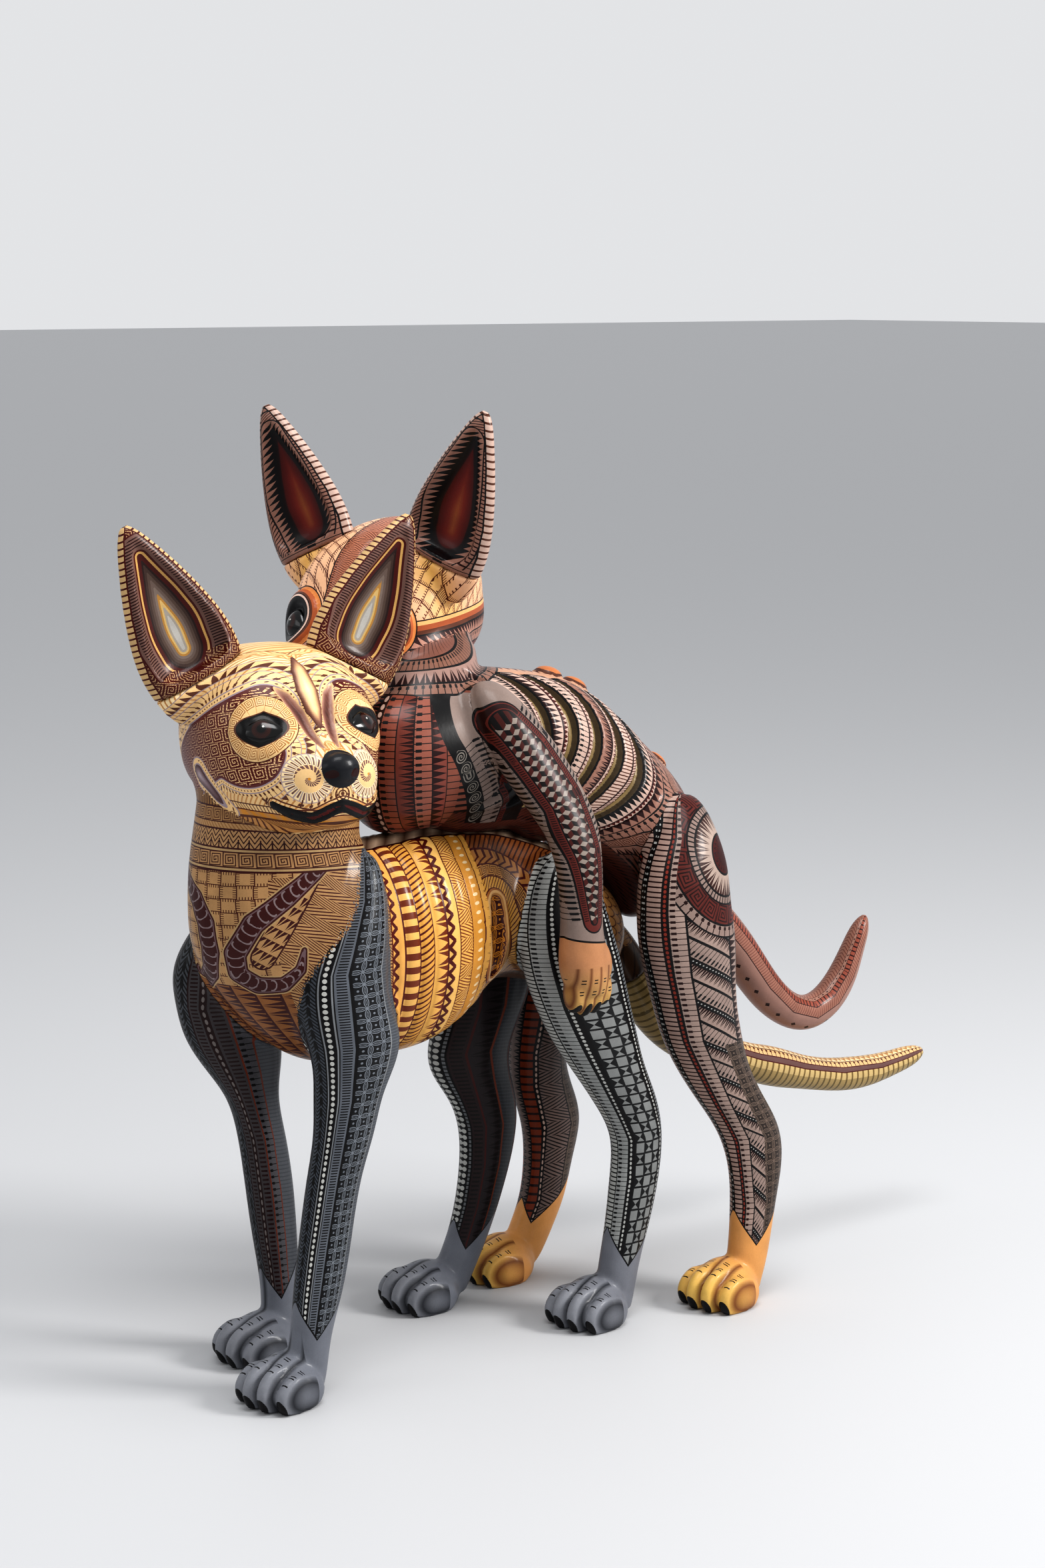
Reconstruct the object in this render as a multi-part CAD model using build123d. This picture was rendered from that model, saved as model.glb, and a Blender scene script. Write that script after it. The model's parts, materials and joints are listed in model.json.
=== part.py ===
from build123d import *
import math
import os

# Pair of carved wooden dogs: the rear dog stands on its hind legs with its
# forelegs round the hips of the front dog.  Lengths are millimetres.
# Layout frame: both dogs face -Y, their left side is +X, the soles stand on
# Z = 0.  SHIFT_X and SHIFT_Y move the finished pair so that the origin is at
# the middle of its footprint.

SHIFT_X = 29.9
SHIFT_Y = -79.4

RING_POINTS = 12          # points on each carved cross-section
SEAM = 0.3                # gap between a plug-in piece and its seat
PEG_CLEARANCE = 0.06      # radial play of a peg in its socket
EAR_PEG_RADIUS = 6.0
EAR_PEG_LENGTH = 18.0
EAR_SEAM_HEIGHT = 3.0     # seat plane, along the ear from the middle of its root
TAIL_PEG_RADIUS = 6.0
TAIL_PEG_LENGTH = 18.0
PEG_BOTTOM_GAP = 1.0

# Head layout: forward, left and up measured from the middle of the skull.
HEAD_RINGS = [
    # forward, half width, low edge, high edge
    (-84, 10, -16, 12),
    (-77, 28, -35, 28),
    (-61, 46, -52, 45),
    (-38, 59, -61, 55),
    (-8, 65, -64, 58),
    (18, 64.5, -65, 54),
    (38, 60, -65, 42),
    (54, 53, -65, 25),
    (68, 45, -64, 9),
    (82, 38, -62, -1),
    (94, 30, -58, -6),
    (101, 18, -51, -14),
    (104, 6, -40, -24),
]
HEAD_FULLNESS = 2.5         # 2 is an ellipse, more is squarer
EYE_AT = (54, 41, 7)
EYE_RADII = (12, 15, 12)
NOSE_AT = (101, 0, -17)
NOSE_RADII = (9, 14, 11)
EAR_ROOT = (-2, 57, 36)
EAR_RINGS = [
    # distance along the ear, half width, half thickness
    (-22, 26, 10),
    (0, 36, 14),
    (20, 38, 14),
    (42, 35.5, 12.5),
    (64, 29.5, 11),
    (84, 22.5, 9),
    (102, 15, 7),
    (115, 8.5, 5),
    (122, 3, 2.5),
]
EAR_HOLLOW_RINGS = [
    (10, 20, 7),
    (18, 28, 12),
    (42, 27, 12),
    (64, 21, 11),
    (84, 14.5, 9.5),
    (100, 8, 7.5),
    (110, 3, 5),
]
EAR_HOLLOW_FORWARD = 10.0

FRONT_HEAD_CENTRE = (0, -198, 485)
FRONT_HEAD_FACING = (0.988, -0.151)
FRONT_HEAD_NOD = 0.0
FRONT_EAR_LEAN = (-5, 54, 109)      # forward, outward, up from root to tip

REAR_HEAD_CENTRE = (-74, -46, 556)
REAR_HEAD_FACING = (0.28, -0.96)
REAR_HEAD_NOD = 18.0
REAR_EAR_LEAN = (6, 46, 111)

# Trunks.  Upright rings of the front barrel: y, low edge, high edge, half width.
FRONT_BARREL = [
    (115, 290, 304, 8),
    (110, 274, 320, 22),
    (98, 260, 336, 34),
    (74, 256, 352, 43),
    (46, 262, 365, 46),
    (16, 270, 377, 46),
    (-16, 272, 387, 46),
    (-43, 254, 390, 51),
    (-75, 236, 392, 56),
    (-108, 232, 393, 57),
    (-140, 236, 389, 52),
    (-165, 256, 366, 38),
    (-178, 290, 332, 16),
]
# Level rings of chest and neck: z, y of the middle, half width, half depth.
FRONT_NECK = [
    (235, -146, 16, 22),
    (243, -149, 30, 42),
    (260, -154, 42, 61),
    (285, -164, 50, 76),
    (315, -175, 55, 85),
    (345, -182, 56, 86),
    (370, -191, 54, 77),
    (392, -199, 51, 67),
    (420, -198, 50, 63),
    (450, -198, 49, 58),
    (475, -198, 42, 48),
]
# Tilted rings of the rear trunk: y, z, tilt in degrees, half width, reach to
# the back, reach to the belly.
REAR_TRUNK = [
    (-128, 450, 0, 12, 16, 16),
    (-124, 450, 0, 30, 38, 38),
    (-110, 450, 0, 42, 49, 52),
    (-85, 452, 0, 48, 54, 56),
    (-48, 455, 0, 51, 57, 59.5),
    (-8, 454, 2, 51, 58, 61),
    (36, 447, 12, 49, 57, 65),
    (78, 427, 27, 46, 53, 61),
    (112, 400, 38, 45, 50, 55),
    (142, 370, 45, 43, 49, 50),
    (165, 344, 50, 33, 36, 56),
    (178, 329, 52, 20, 21, 44),
    (184, 321, 53, 7, 7, 12),
]
# Level rings of the rear neck: z, x, y, half width, half depth.
REAR_NECK = [
    (440, 0, -62, 34, 38),
    (470, -3, -63, 43, 45),
    (500, -14, -61, 44, 46),
    (525, -36, -46, 43, 44),
    (545, -54, -36, 36, 37),
    (560, -62, -34, 26, 27),
]

# Limbs, level rings: z, x, y, half width, half depth.  x is given for the
# left side and its sign is turned for the right side.
FRONT_FORELEG_LEFT = [
    (396, 34, -150, 5, 4),
    (388, 37, -152, 12, 11),
    (362, 42, -157, 19, 20),
    (337, 46, -166, 23, 27),
    (314, 48, -175, 25, 34),
    (288, 49, -176, 25, 36),
    (259, 49, -168, 24, 37),
    (240, 49, -168, 22, 33),
    (220, 48, -172, 20, 28),
    (192, 48, -177, 18, 24),
    (163, 47, -184, 16, 22),
    (114, 46, -193, 15, 21),
    (71, 46, -201, 14, 19),
    (44, 45, -206, 14, 16),
    (20, 44, -210, 15, 16),
    (8, 44, -212, 14, 15),
]
FRONT_FORELEG_RIGHT = [
    (372, 34, -196, 5, 4),
    (362, 37, -204, 12, 12),
    (334, 43, -216, 20, 25),
    (306, 47, -222, 24, 33),
    (278, 49, -216, 25, 37),
    (251, 49, -207, 24, 38),
    (225, 49, -198, 21, 30),
    (203, 48, -192, 18, 21),
    (172, 47, -185, 16, 18.5),
    (130, 46, -179, 15, 19),
    (88, 45, -175, 14, 17.5),
    (44, 44, -172, 13.5, 15),
    (20, 42, -174, 14, 15),
    (8, 41, -175, 14, 15),
]
FRONT_HINDLEG_LEFT = [
    (372, 36, 36, 5, 8),
    (364, 41, 33, 14, 24),
    (338, 48, 26, 21, 36),
    (302, 53, 28, 24, 43),
    (259, 54, 41, 24, 42),
    (231, 55, 52, 22.5, 38),
    (203, 56, 66, 20, 32),
    (174, 56, 83, 18, 27.5),
    (145, 56, 94, 16, 23),
    (113, 56, 93, 15, 22),
    (76, 55, 87, 14, 20),
    (45, 54, 80, 14, 17.5),
    (20, 53, 76, 14, 16),
    (8, 53, 74, 13, 15),
]
FRONT_HINDLEG_RIGHT = [
    (356, 36, 40, 5, 8),
    (348, 41, 38, 14, 24),
    (322, 48, 34, 21, 34),
    (286, 52, 34, 24, 41),
    (240, 54, 30, 24, 40),
    (204, 56, 18, 22.5, 37.5),
    (176, 57, 24, 20, 33),
    (141, 57, 36, 18, 26.5),
    (109, 57, 34, 16, 23),
    (77, 57, 26, 14.5, 20),
    (51, 58, 17, 14, 18.5),
    (24, 59, 4, 14, 18),
    (8, 60, -2, 13, 16),
]
REAR_HINDLEG_LEFT = [
    (404, 40, 150, 5, 5),
    (396, 45, 148, 17, 17),
    (376, 53, 144, 24, 27),
    (350, 60, 138, 27, 38),
    (322, 63, 136, 28, 42),
    (299, 65, 137, 28, 43.5),
    (273, 66, 140, 28, 41),
    (246, 68, 143, 27, 37),
    (219, 70, 149, 25, 35),
    (191, 72, 160, 22, 32),
    (162, 75, 177, 20, 29.5),
    (132, 78, 194, 17.5, 28),
    (110, 80, 198, 16, 25.5),
    (78, 81, 196, 15, 21),
    (51, 82, 192, 14, 19),
    (24, 82, 187, 14, 17),
    (8, 82, 184, 13, 15),
]
REAR_HINDLEG_RIGHT = [
    (404, 40, 146, 5, 5),
    (396, 45, 145, 17, 17),
    (376, 53, 140, 24, 27),
    (350, 60, 134, 27, 36),
    (318, 64, 128, 28, 40),
    (285, 66, 122, 28, 38),
    (252, 68, 114, 26, 34),
    (220, 70, 105, 24, 29),
    (187, 72, 99, 22, 25),
    (159, 74, 104, 19, 27),
    (122, 77, 117, 17, 27.5),
    (88, 79, 116, 16, 22.5),
    (61, 79, 110, 15, 21),
    (35, 79, 98, 14, 21),
    (20, 79, 90, 14, 20),
    (8, 79, 84, 13, 16),
]
REAR_FORELEG = [
    (508, 38, -40, 5, 6),
    (500, 44, -38, 13, 15),
    (478, 54, -30, 19, 24),
    (448, 66, -17, 20, 29),
    (421, 77, -5, 19, 27),
    (397, 88, 2, 17, 22.5),
    (373, 97, 2, 14.5, 19),
    (348, 98.5, 3, 14, 17.5),
    (326, 99, 3, 14.5, 17),
    (308, 99.5, 4, 16, 19.5),
    (290, 100, 6, 16, 19),
    (278, 100, 8, 13, 14),
]
HOLDING_PAW_AT = (100, 8, 292)

# Paw: toes and pad as ovals, in forward, left, up from the middle of the sole.
PAW_PAD = ((-5, 0, 12), (27, 25, 24))
PAW_TOES = [
    ((3, -20.5, 11), (23, 9, 16)),
    ((8, -7, 13), (24, 9, 19)),
    ((8, 7, 13), (24, 9, 19)),
    ((3, 20.5, 11), (23, 9, 16)),
]
# Paw middles on the ground, and outward turn in degrees.
PAWS = {
    "front_foreleg_left": (43, -229, 12),
    "front_foreleg_right": (-42, -194, 0),
    "front_hindleg_left": (51, 52, 10),
    "front_hindleg_right": (-62, -26, -2),
    "rear_hindleg_left": (82, 162, 10),
    "rear_hindleg_right": (-79, 63, -5),
}

# Tails: x, y, z, half thickness along the middle line, root first.
FRONT_TAIL = [
    (0, 104, 296, 15),
    (0, 118, 281, 16.5),
    (0, 134, 258, 17),
    (0, 150, 233, 17),
    (0, 172, 208, 16.5),
    (0, 206, 186, 16),
    (0, 265, 163, 15.5),
    (0, 316, 147, 15),
    (0, 363, 136, 14),
    (0, 410, 133, 12.5),
    (0, 443, 136, 10),
    (0, 464, 139, 6),
    (0, 470, 140, 2),
]
FRONT_TAIL_SEAT = 2
REAR_TAIL = [
    (0, 168, 342, 14),
    (0, 184, 326, 16.5),
    (0, 216, 295, 17.5),
    (0, 248, 262, 17),
    (0, 276, 228, 16),
    (0, 303, 204, 15),
    (0, 330, 195, 14.5),
    (0, 354, 203, 13.5),
    (0, 372, 222, 12),
    (0, 385, 246, 9.5),
    (0, 394, 263, 6),
    (0, 397, 269, 2),
]
REAR_TAIL_SEAT = 2


def ring(centre, side, rise, half_side, half_high, half_low=None, fullness=2.0):
    """Closed smooth outline, flat in the plane of side and rise."""
    half_low = half_high if half_low is None else half_low
    points = []
    for step in range(RING_POINTS):
        angle = 2 * math.pi * step / RING_POINTS
        cosine = math.cos(angle)
        sine = math.sin(angle)
        reach = half_high if sine > 0 else half_low
        across = half_side * math.copysign(abs(cosine) ** (2 / fullness), cosine)
        up = reach * math.copysign(abs(sine) ** (2 / fullness), sine)
        points.append(Vector(centre) + Vector(side) * across + Vector(rise) * up)
    return make_face(Spline(*points, periodic=True))


def skin(rings):
    """Solid carved smoothly through the rings."""
    return loft(rings)


def oval(centre, radii):
    """Oval ball."""
    return Pos(*centre) * scale(Sphere(1), by=radii)


def limb(table, side_sign):
    """Leg through level rings."""
    rings = []
    for z, x, y, half_width, half_depth in table:
        centre = (side_sign * x, y, z)
        rings.append(ring(centre, (1, 0, 0), (0, -1, 0), half_width, half_depth))
    return skin(rings)


def standing_paw(x, y, turn):
    """Four-toed paw with a flat sole at Z = 0, toes towards -Y."""
    body = oval(*PAW_PAD)
    for centre, radii in PAW_TOES:
        body = body + oval(centre, radii)
    body = body & Pos(0, 0, 50) * Box(200, 200, 100)
    return Pos(x, y, 0) * Rot(0, 0, turn - 90) * body


def holding_paw(side_sign):
    """Paw of a rear foreleg, toes hanging down along the hip of the front dog."""
    x, y, z = HOLDING_PAW_AT
    body = oval((0, 0, 6), (15.5, 20, 24))
    for offset, drop in ((-13.5, -13), (-4.5, -17), (4.5, -16), (13.5, -11)):
        body = body + oval((0, offset, drop), (10, 6, 15))
    return Pos(side_sign * x, y, z) * body


def front_trunk():
    """Barrel, chest and neck of the front dog."""
    barrel = []
    for y, low, high, half_width in FRONT_BARREL:
        middle = (low + high) / 2
        half = (high - low) / 2
        barrel.append(ring((0, y, middle), (1, 0, 0), (0, 0, 1), half_width, half))
    neck = []
    for z, y, half_width, half_depth in FRONT_NECK:
        neck.append(ring((0, y, z), (1, 0, 0), (0, -1, 0), half_width, half_depth))
    return skin(barrel) + skin(neck)


def rear_trunk():
    """Trunk and neck of the rear dog."""
    trunk = []
    for y, z, tilt, half_width, back, belly in REAR_TRUNK:
        angle = math.radians(tilt)
        rise = (0, math.sin(angle), math.cos(angle))
        trunk.append(ring((0, y, z), (1, 0, 0), rise, half_width, back, belly))
    neck = []
    for z, x, y, half_width, half_depth in REAR_NECK:
        neck.append(ring((x, y, z), (1, 0, 0), (0, -1, 0), half_width, half_depth))
    return skin(trunk) + skin(neck)


def head_frame(centre, facing, nod):
    """Head directions: forward, left and up as vectors."""
    level = Vector(facing[0], facing[1], 0).normalized()
    left = Vector(-level.Y, level.X, 0)
    angle = math.radians(nod)
    forward = level * math.cos(angle) - Vector(0, 0, 1) * math.sin(angle)
    up = Vector(0, 0, 1) * math.cos(angle) + level * math.sin(angle)
    return Vector(centre), forward, left, up


def in_head(frame, place):
    centre, forward, left, up = frame
    return centre + forward * place[0] + left * place[1] + up * place[2]


def head_plane(frame, place):
    """Plane whose X, Y and Z run forward, left and up of the head."""
    centre, forward, left, up = frame
    return Plane(origin=in_head(frame, place), x_dir=forward, z_dir=up)


def skull(frame):
    """Skull and muzzle."""
    centre, forward, left, up = frame
    rings = []
    for reach, half_width, low, high in HEAD_RINGS:
        middle = in_head(frame, (reach, 0, (low + high) / 2))
        half = (high - low) / 2
        rings.append(ring(middle, left, up, half_width, half, half, HEAD_FULLNESS))
    nose = head_plane(frame, NOSE_AT) * oval((0, 0, 0), NOSE_RADII)
    return skin(rings) + nose


def eye(frame, side_sign):
    place = (EYE_AT[0], side_sign * EYE_AT[1], EYE_AT[2])
    return head_plane(frame, place) * oval((0, 0, 0), EYE_RADII)


def ear_frame(frame, lean, side_sign):
    """Root, axis, width direction and facing direction of one ear."""
    centre, forward, left, up = frame
    root = in_head(frame, (EAR_ROOT[0], side_sign * EAR_ROOT[1], EAR_ROOT[2]))
    level = Vector(forward.X, forward.Y, 0).normalized()
    axis = level * lean[0] + left * (side_sign * lean[1]) + Vector(0, 0, 1) * lean[2]
    axis = axis.normalized()
    width = level.cross(axis).normalized()
    facing = axis.cross(width).normalized()
    return root, axis, width, facing


def ear_blank(layout):
    """Whole ear with its root sunk into the skull."""
    root, axis, width, facing = layout
    rings = []
    for along, half_width, half_thick in EAR_RINGS:
        rings.append(ring(root + axis * along, width, facing, half_width, half_thick))
    return skin(rings)


def ear_hollow(layout):
    """Space inside the ear, open towards the front."""
    root, axis, width, facing = layout
    rings = []
    for along, half_width, half_thick in EAR_HOLLOW_RINGS:
        centre = root + axis * along + facing * EAR_HOLLOW_FORWARD
        rings.append(ring(centre, width, facing, half_width, half_thick))
    return skin(rings)


def ear_room(layout):
    """Space the plug-in ear needs next to the skull, with a little play."""
    root, axis, width, facing = layout
    rings = []
    for along, half_width, half_thick in EAR_RINGS[:5]:
        centre = root + axis * along
        rings.append(ring(centre, width, facing, half_width + 0.8, half_thick + 0.8))
    return skin(rings) & slab_above(root, axis, EAR_SEAM_HEIGHT)


def slab_above(origin, axis, height):
    """Everything near the piece that lies beyond a plane across its axis."""
    plane = Plane(origin=origin + axis * height, z_dir=axis)
    return plane * Pos(0, 0, 400) * Box(800, 800, 800)


def peg(origin, axis, start, length, radius):
    """Round peg that runs back from a plane across the axis."""
    plane = Plane(origin=origin + axis * (start - length), z_dir=axis)
    return plane * Pos(0, 0, length / 2) * Cylinder(radius, length)


def ear_pieces(layout):
    """The plug-in ear, the seat left on the head, and the socket."""
    root, axis, width, facing = layout
    blank = ear_blank(layout)
    seat = blank - slab_above(root, axis, EAR_SEAM_HEIGHT)
    ear = blank & slab_above(root, axis, EAR_SEAM_HEIGHT + SEAM)
    ear = ear - ear_hollow(layout)
    ear = ear + peg(root, axis, EAR_SEAM_HEIGHT + 2, EAR_PEG_LENGTH + 2, EAR_PEG_RADIUS)
    depth = EAR_PEG_LENGTH + PEG_BOTTOM_GAP
    socket = peg(root, axis, EAR_SEAM_HEIGHT + 1, depth + 1, EAR_PEG_RADIUS + PEG_CLEARANCE)
    return ear, seat, socket + ear_room(layout)


def tail_directions(table, index):
    """Direction of the tail's middle line at one ring."""
    before = table[max(index - 1, 0)]
    after = table[min(index + 1, len(table) - 1)]
    run = Vector(*after[:3]) - Vector(*before[:3])
    return run.normalized()


def tail_blank(table):
    rings = []
    for index, (x, y, z, half) in enumerate(table):
        along = tail_directions(table, index)
        side = Vector(1, 0, 0)
        rise = along.cross(side).normalized()
        rings.append(ring((x, y, z), side, rise, half, half))
    return skin(rings)


def tail_pieces(table, seat_index):
    """The plug-in tail, the stump left on the rump, and the socket."""
    blank = tail_blank(table)
    origin = Vector(*table[seat_index][:3])
    axis = tail_directions(table, seat_index)
    stump = blank - slab_above(origin, axis, 0)
    tail = blank & slab_above(origin, axis, SEAM)
    tail = tail + peg(origin, axis, 2, TAIL_PEG_LENGTH + 2, TAIL_PEG_RADIUS)
    depth = TAIL_PEG_LENGTH + PEG_BOTTOM_GAP
    socket = peg(origin, axis, 1, depth + 1, TAIL_PEG_RADIUS + PEG_CLEARANCE)
    return tail, stump, socket


def build_dog(name, trunk, centre, facing, nod, lean, tail_table, tail_seat):
    """Trunk, head, ears, eyes and tail of one dog."""
    pieces = {}
    frame = head_frame(centre, facing, nod)
    head = skull(frame)
    sockets = []
    for word, sign in (("left", 1), ("right", -1)):
        ear, seat, socket = ear_pieces(ear_frame(frame, lean, sign))
        head = head + seat
        sockets.append(socket)
        pieces[name + "_ear_" + word] = ear
    for socket in sockets:
        head = head - socket
    for word, sign in (("left", 1), ("right", -1)):
        ball = eye(frame, sign)
        head = head - ball
        pieces[name + "_eye_" + word] = ball
    tail, stump, socket = tail_pieces(tail_table, tail_seat)
    body = trunk + stump - socket - skull(frame)
    pieces[name + "_head"] = head
    pieces[name + "_torso"] = body
    pieces[name + "_tail"] = tail
    return pieces


def main_solid(shape):
    """The one large solid of a shape, without crumbs left by a cut."""
    return max(shape.solids(), key=lambda part: part.volume)


def build_all():
    """Every piece of both dogs, by name."""
    front = front_trunk()
    rear = rear_trunk()
    pieces = {}
    pieces.update(
        build_dog(
            "front", front, FRONT_HEAD_CENTRE, FRONT_HEAD_FACING, FRONT_HEAD_NOD,
            FRONT_EAR_LEAN, FRONT_TAIL, FRONT_TAIL_SEAT,
        )
    )
    pieces.update(
        build_dog(
            "rear", rear, REAR_HEAD_CENTRE, REAR_HEAD_FACING, REAR_HEAD_NOD,
            REAR_EAR_LEAN, REAR_TAIL, REAR_TAIL_SEAT,
        )
    )
    legs = {
        "front_foreleg_left": limb(FRONT_FORELEG_LEFT, 1),
        "front_foreleg_right": limb(FRONT_FORELEG_RIGHT, -1),
        "front_hindleg_left": limb(FRONT_HINDLEG_LEFT, 1),
        "front_hindleg_right": limb(FRONT_HINDLEG_RIGHT, -1),
        "rear_hindleg_left": limb(REAR_HINDLEG_LEFT, 1),
        "rear_hindleg_right": limb(REAR_HINDLEG_RIGHT, -1),
        "rear_foreleg_left": limb(REAR_FORELEG, 1) + holding_paw(1),
        "rear_foreleg_right": limb(REAR_FORELEG, -1) + holding_paw(-1),
    }
    for name, (x, y, turn) in PAWS.items():
        legs[name] = legs[name] + standing_paw(x, y, turn)
    trunks = {"front": front, "rear": rear}
    for name, leg in legs.items():
        dog = name.split("_")[0]
        leg = leg - pieces[dog + "_torso"]
        if name == "rear_foreleg_right":
            leg = leg - pieces[dog + "_head"]
        pieces[name] = leg
    return {name: main_solid(shape) for name, shape in pieces.items()}


if __name__ == "__main__":
    os.makedirs("parts", exist_ok=True)
    for name, solid in build_all().items():
        placed = Pos(SHIFT_X, SHIFT_Y, 0) * solid
        export_step(placed, "parts/" + name + ".step")
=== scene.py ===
"""Looks of a carved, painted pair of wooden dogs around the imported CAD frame."""

import json
import math

import bpy
import numpy as np
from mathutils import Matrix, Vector
from mathutils.bvhtree import BVHTree


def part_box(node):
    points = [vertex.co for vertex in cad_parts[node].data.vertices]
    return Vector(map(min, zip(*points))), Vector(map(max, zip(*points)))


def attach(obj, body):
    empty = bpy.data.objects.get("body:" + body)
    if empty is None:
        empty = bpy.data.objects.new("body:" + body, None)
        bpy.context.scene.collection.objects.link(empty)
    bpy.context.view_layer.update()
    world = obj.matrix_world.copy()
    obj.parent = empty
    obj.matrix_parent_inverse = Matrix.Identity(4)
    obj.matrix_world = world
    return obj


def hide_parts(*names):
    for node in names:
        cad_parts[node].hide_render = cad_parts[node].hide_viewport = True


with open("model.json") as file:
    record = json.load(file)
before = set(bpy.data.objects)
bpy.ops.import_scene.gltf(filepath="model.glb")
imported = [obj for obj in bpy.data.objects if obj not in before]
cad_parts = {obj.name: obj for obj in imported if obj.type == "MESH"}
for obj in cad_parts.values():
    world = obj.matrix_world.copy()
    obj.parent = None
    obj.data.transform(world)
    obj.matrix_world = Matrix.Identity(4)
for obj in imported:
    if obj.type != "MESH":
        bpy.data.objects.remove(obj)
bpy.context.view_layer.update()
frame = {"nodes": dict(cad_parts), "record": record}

# The dogs' middle plane and a fore-and-aft reference, in metres.
TORSO_LOW, TORSO_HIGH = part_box("front_torso")
MID_X = (TORSO_LOW.x + TORSO_HIGH.x) / 2
MID_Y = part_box("front_tail")[1].y - 0.4703
ORIGIN = np.array([MID_X, MID_Y, 0.0])
MM = 0.001

# ---------------------------------------------------------------- meshes


def node_soup(name):
    """Corner positions and faces of a CAD node."""
    mesh = frame["nodes"][name].data
    places = np.zeros(len(mesh.vertices) * 3)
    mesh.vertices.foreach_get("co", places)
    faces = [tuple(face.vertices) for face in mesh.polygons]
    return places.reshape(-1, 3), faces


def made_object(name, places, faces):
    mesh = bpy.data.meshes.new(name)
    mesh.from_pydata([tuple(p) for p in places], [], faces)
    mesh.update()
    thing = bpy.data.objects.new(name, mesh)
    bpy.context.scene.collection.objects.link(thing)
    return thing


def remeshed(name, sources, voxel, smooth_rounds=3):
    """One closed, evenly meshed skin over the CAD nodes."""
    all_places, all_faces = [], []
    offset = 0
    for source in sources:
        places, faces = node_soup(source)
        all_places.append(places)
        all_faces += [tuple(i + offset for i in face) for face in faces]
        offset += len(places)
    thing = made_object(name + "_raw", np.vstack(all_places), all_faces)
    modifier = thing.modifiers.new("even", "REMESH")
    modifier.mode = "VOXEL"
    modifier.voxel_size = voxel
    if smooth_rounds:
        soften = thing.modifiers.new("soften", "SMOOTH")
        soften.factor = 0.5
        soften.iterations = smooth_rounds
    graph = bpy.context.evaluated_depsgraph_get()
    mesh = bpy.data.meshes.new_from_object(thing.evaluated_get(graph))
    bpy.data.objects.remove(thing)
    result = bpy.data.objects.new(name, mesh)
    bpy.context.scene.collection.objects.link(result)
    return result


def positions(thing):
    places = np.zeros(len(thing.data.vertices) * 3)
    thing.data.vertices.foreach_get("co", places)
    return places.reshape(-1, 3)


def normals(thing):
    values = np.zeros(len(thing.data.vertices) * 3)
    thing.data.vertices.foreach_get("normal", values)
    return values.reshape(-1, 3)


def place(thing, places):
    thing.data.vertices.foreach_set("co", places.astype(np.float32).ravel())
    thing.data.update()


def edge_pairs(thing):
    pairs = np.zeros(len(thing.data.edges) * 2, dtype=np.int32)
    thing.data.edges.foreach_get("vertices", pairs)
    return pairs.reshape(-1, 2)


def relaxed(thing, places, weights, rounds):
    """Laplacian smoothing, more where the weight is more."""
    pairs = edge_pairs(thing)
    count = np.bincount(pairs.ravel(), minlength=len(places))[:, None]
    for _ in range(rounds):
        total = np.zeros_like(places)
        for axis in range(3):
            total[:, axis] = np.bincount(
                pairs[:, 0], places[pairs[:, 1], axis], len(places)
            ) + np.bincount(pairs[:, 1], places[pairs[:, 0], axis], len(places))
        mean = total / np.maximum(count, 1)
        places = places + (mean - places) * weights[:, None] * 0.6
    return places


def tree_of(name):
    places, faces = node_soup(name)
    return BVHTree.FromPolygons([tuple(p) for p in places], faces)


def distances(tree, places, limit):
    """Distance from each point to a surface, capped at the limit."""
    found = np.full(len(places), limit)
    for index, point in enumerate(places):
        hit = tree.find_nearest(point, limit)
        if hit[3] is not None:
            found[index] = hit[3]
    return found


def smooth_path(path, count=60, window=9):
    """The same path with its corners rounded, as many short steps."""
    path = np.array(path, float)
    steps = np.linalg.norm(np.diff(path[:, :3], axis=0), axis=1)
    lengths = np.concatenate([[0], np.cumsum(steps)])
    fine = np.linspace(0, lengths[-1], count)
    rows = np.stack([np.interp(fine, lengths, path[:, i]) for i in range(path.shape[1])], 1)
    ends = [np.repeat(end, window // 2, 0) for end in (rows[:1], rows[-1:])]
    padded = np.vstack([ends[0], rows, ends[1]])
    kernel = np.ones(window) / window
    columns = [np.convolve(column, kernel, "valid") for column in padded.T]
    return np.stack(columns, 1)


def step(value, low, high):
    """0 below low, 1 above high, smooth in between."""
    share = np.clip((value - low) / (high - low), 0, 1)
    return share * share * (3 - 2 * share)

# ---------------------------------------------------------------- surface coordinates


def inside_box(places, low, high, margin):
    above = np.all(places > np.array(low) - margin, 1)
    return above & np.all(places < np.array(high) + margin, 1)


def layout(places):
    """Millimetres from the middle plane, the ground and the fore-and-aft reference."""
    return (places - ORIGIN) / MM


def save_field(thing, name, first, second, third=None):
    """Stores up to three smooth numbers per vertex for the paint to read."""
    if third is None:
        third = np.zeros(len(first))
    values = np.stack([first, second, third], 1).astype(np.float32)
    attribute = thing.data.attributes.new(name, "FLOAT_VECTOR", "POINT")
    attribute.data.foreach_set("vector", values.ravel())


def stroke(points, path):
    """Length along a tapering brush stroke and signed distance from its edge.

    The path holds (a, b, c, radius) rows in the same directions as the points."""
    path = np.array(path, float)
    best = np.full(len(points), 1e9)
    along = np.zeros(len(points))
    run = 0.0
    for start, end in zip(path[:-1], path[1:]):
        way = end[:3] - start[:3]
        length = max(np.linalg.norm(way), 1e-6)
        share = np.clip(((points - start[:3]) @ way) / length**2, 0, 1)
        foot = start[:3] + share[:, None] * way
        radius = start[3] + share * (end[3] - start[3])
        edge = np.linalg.norm(points - foot, axis=1) - radius
        nearer = edge < best
        best[nearer] = edge[nearer]
        along[nearer] = (run + share * length)[nearer]
        run += length
    return along, best


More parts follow.
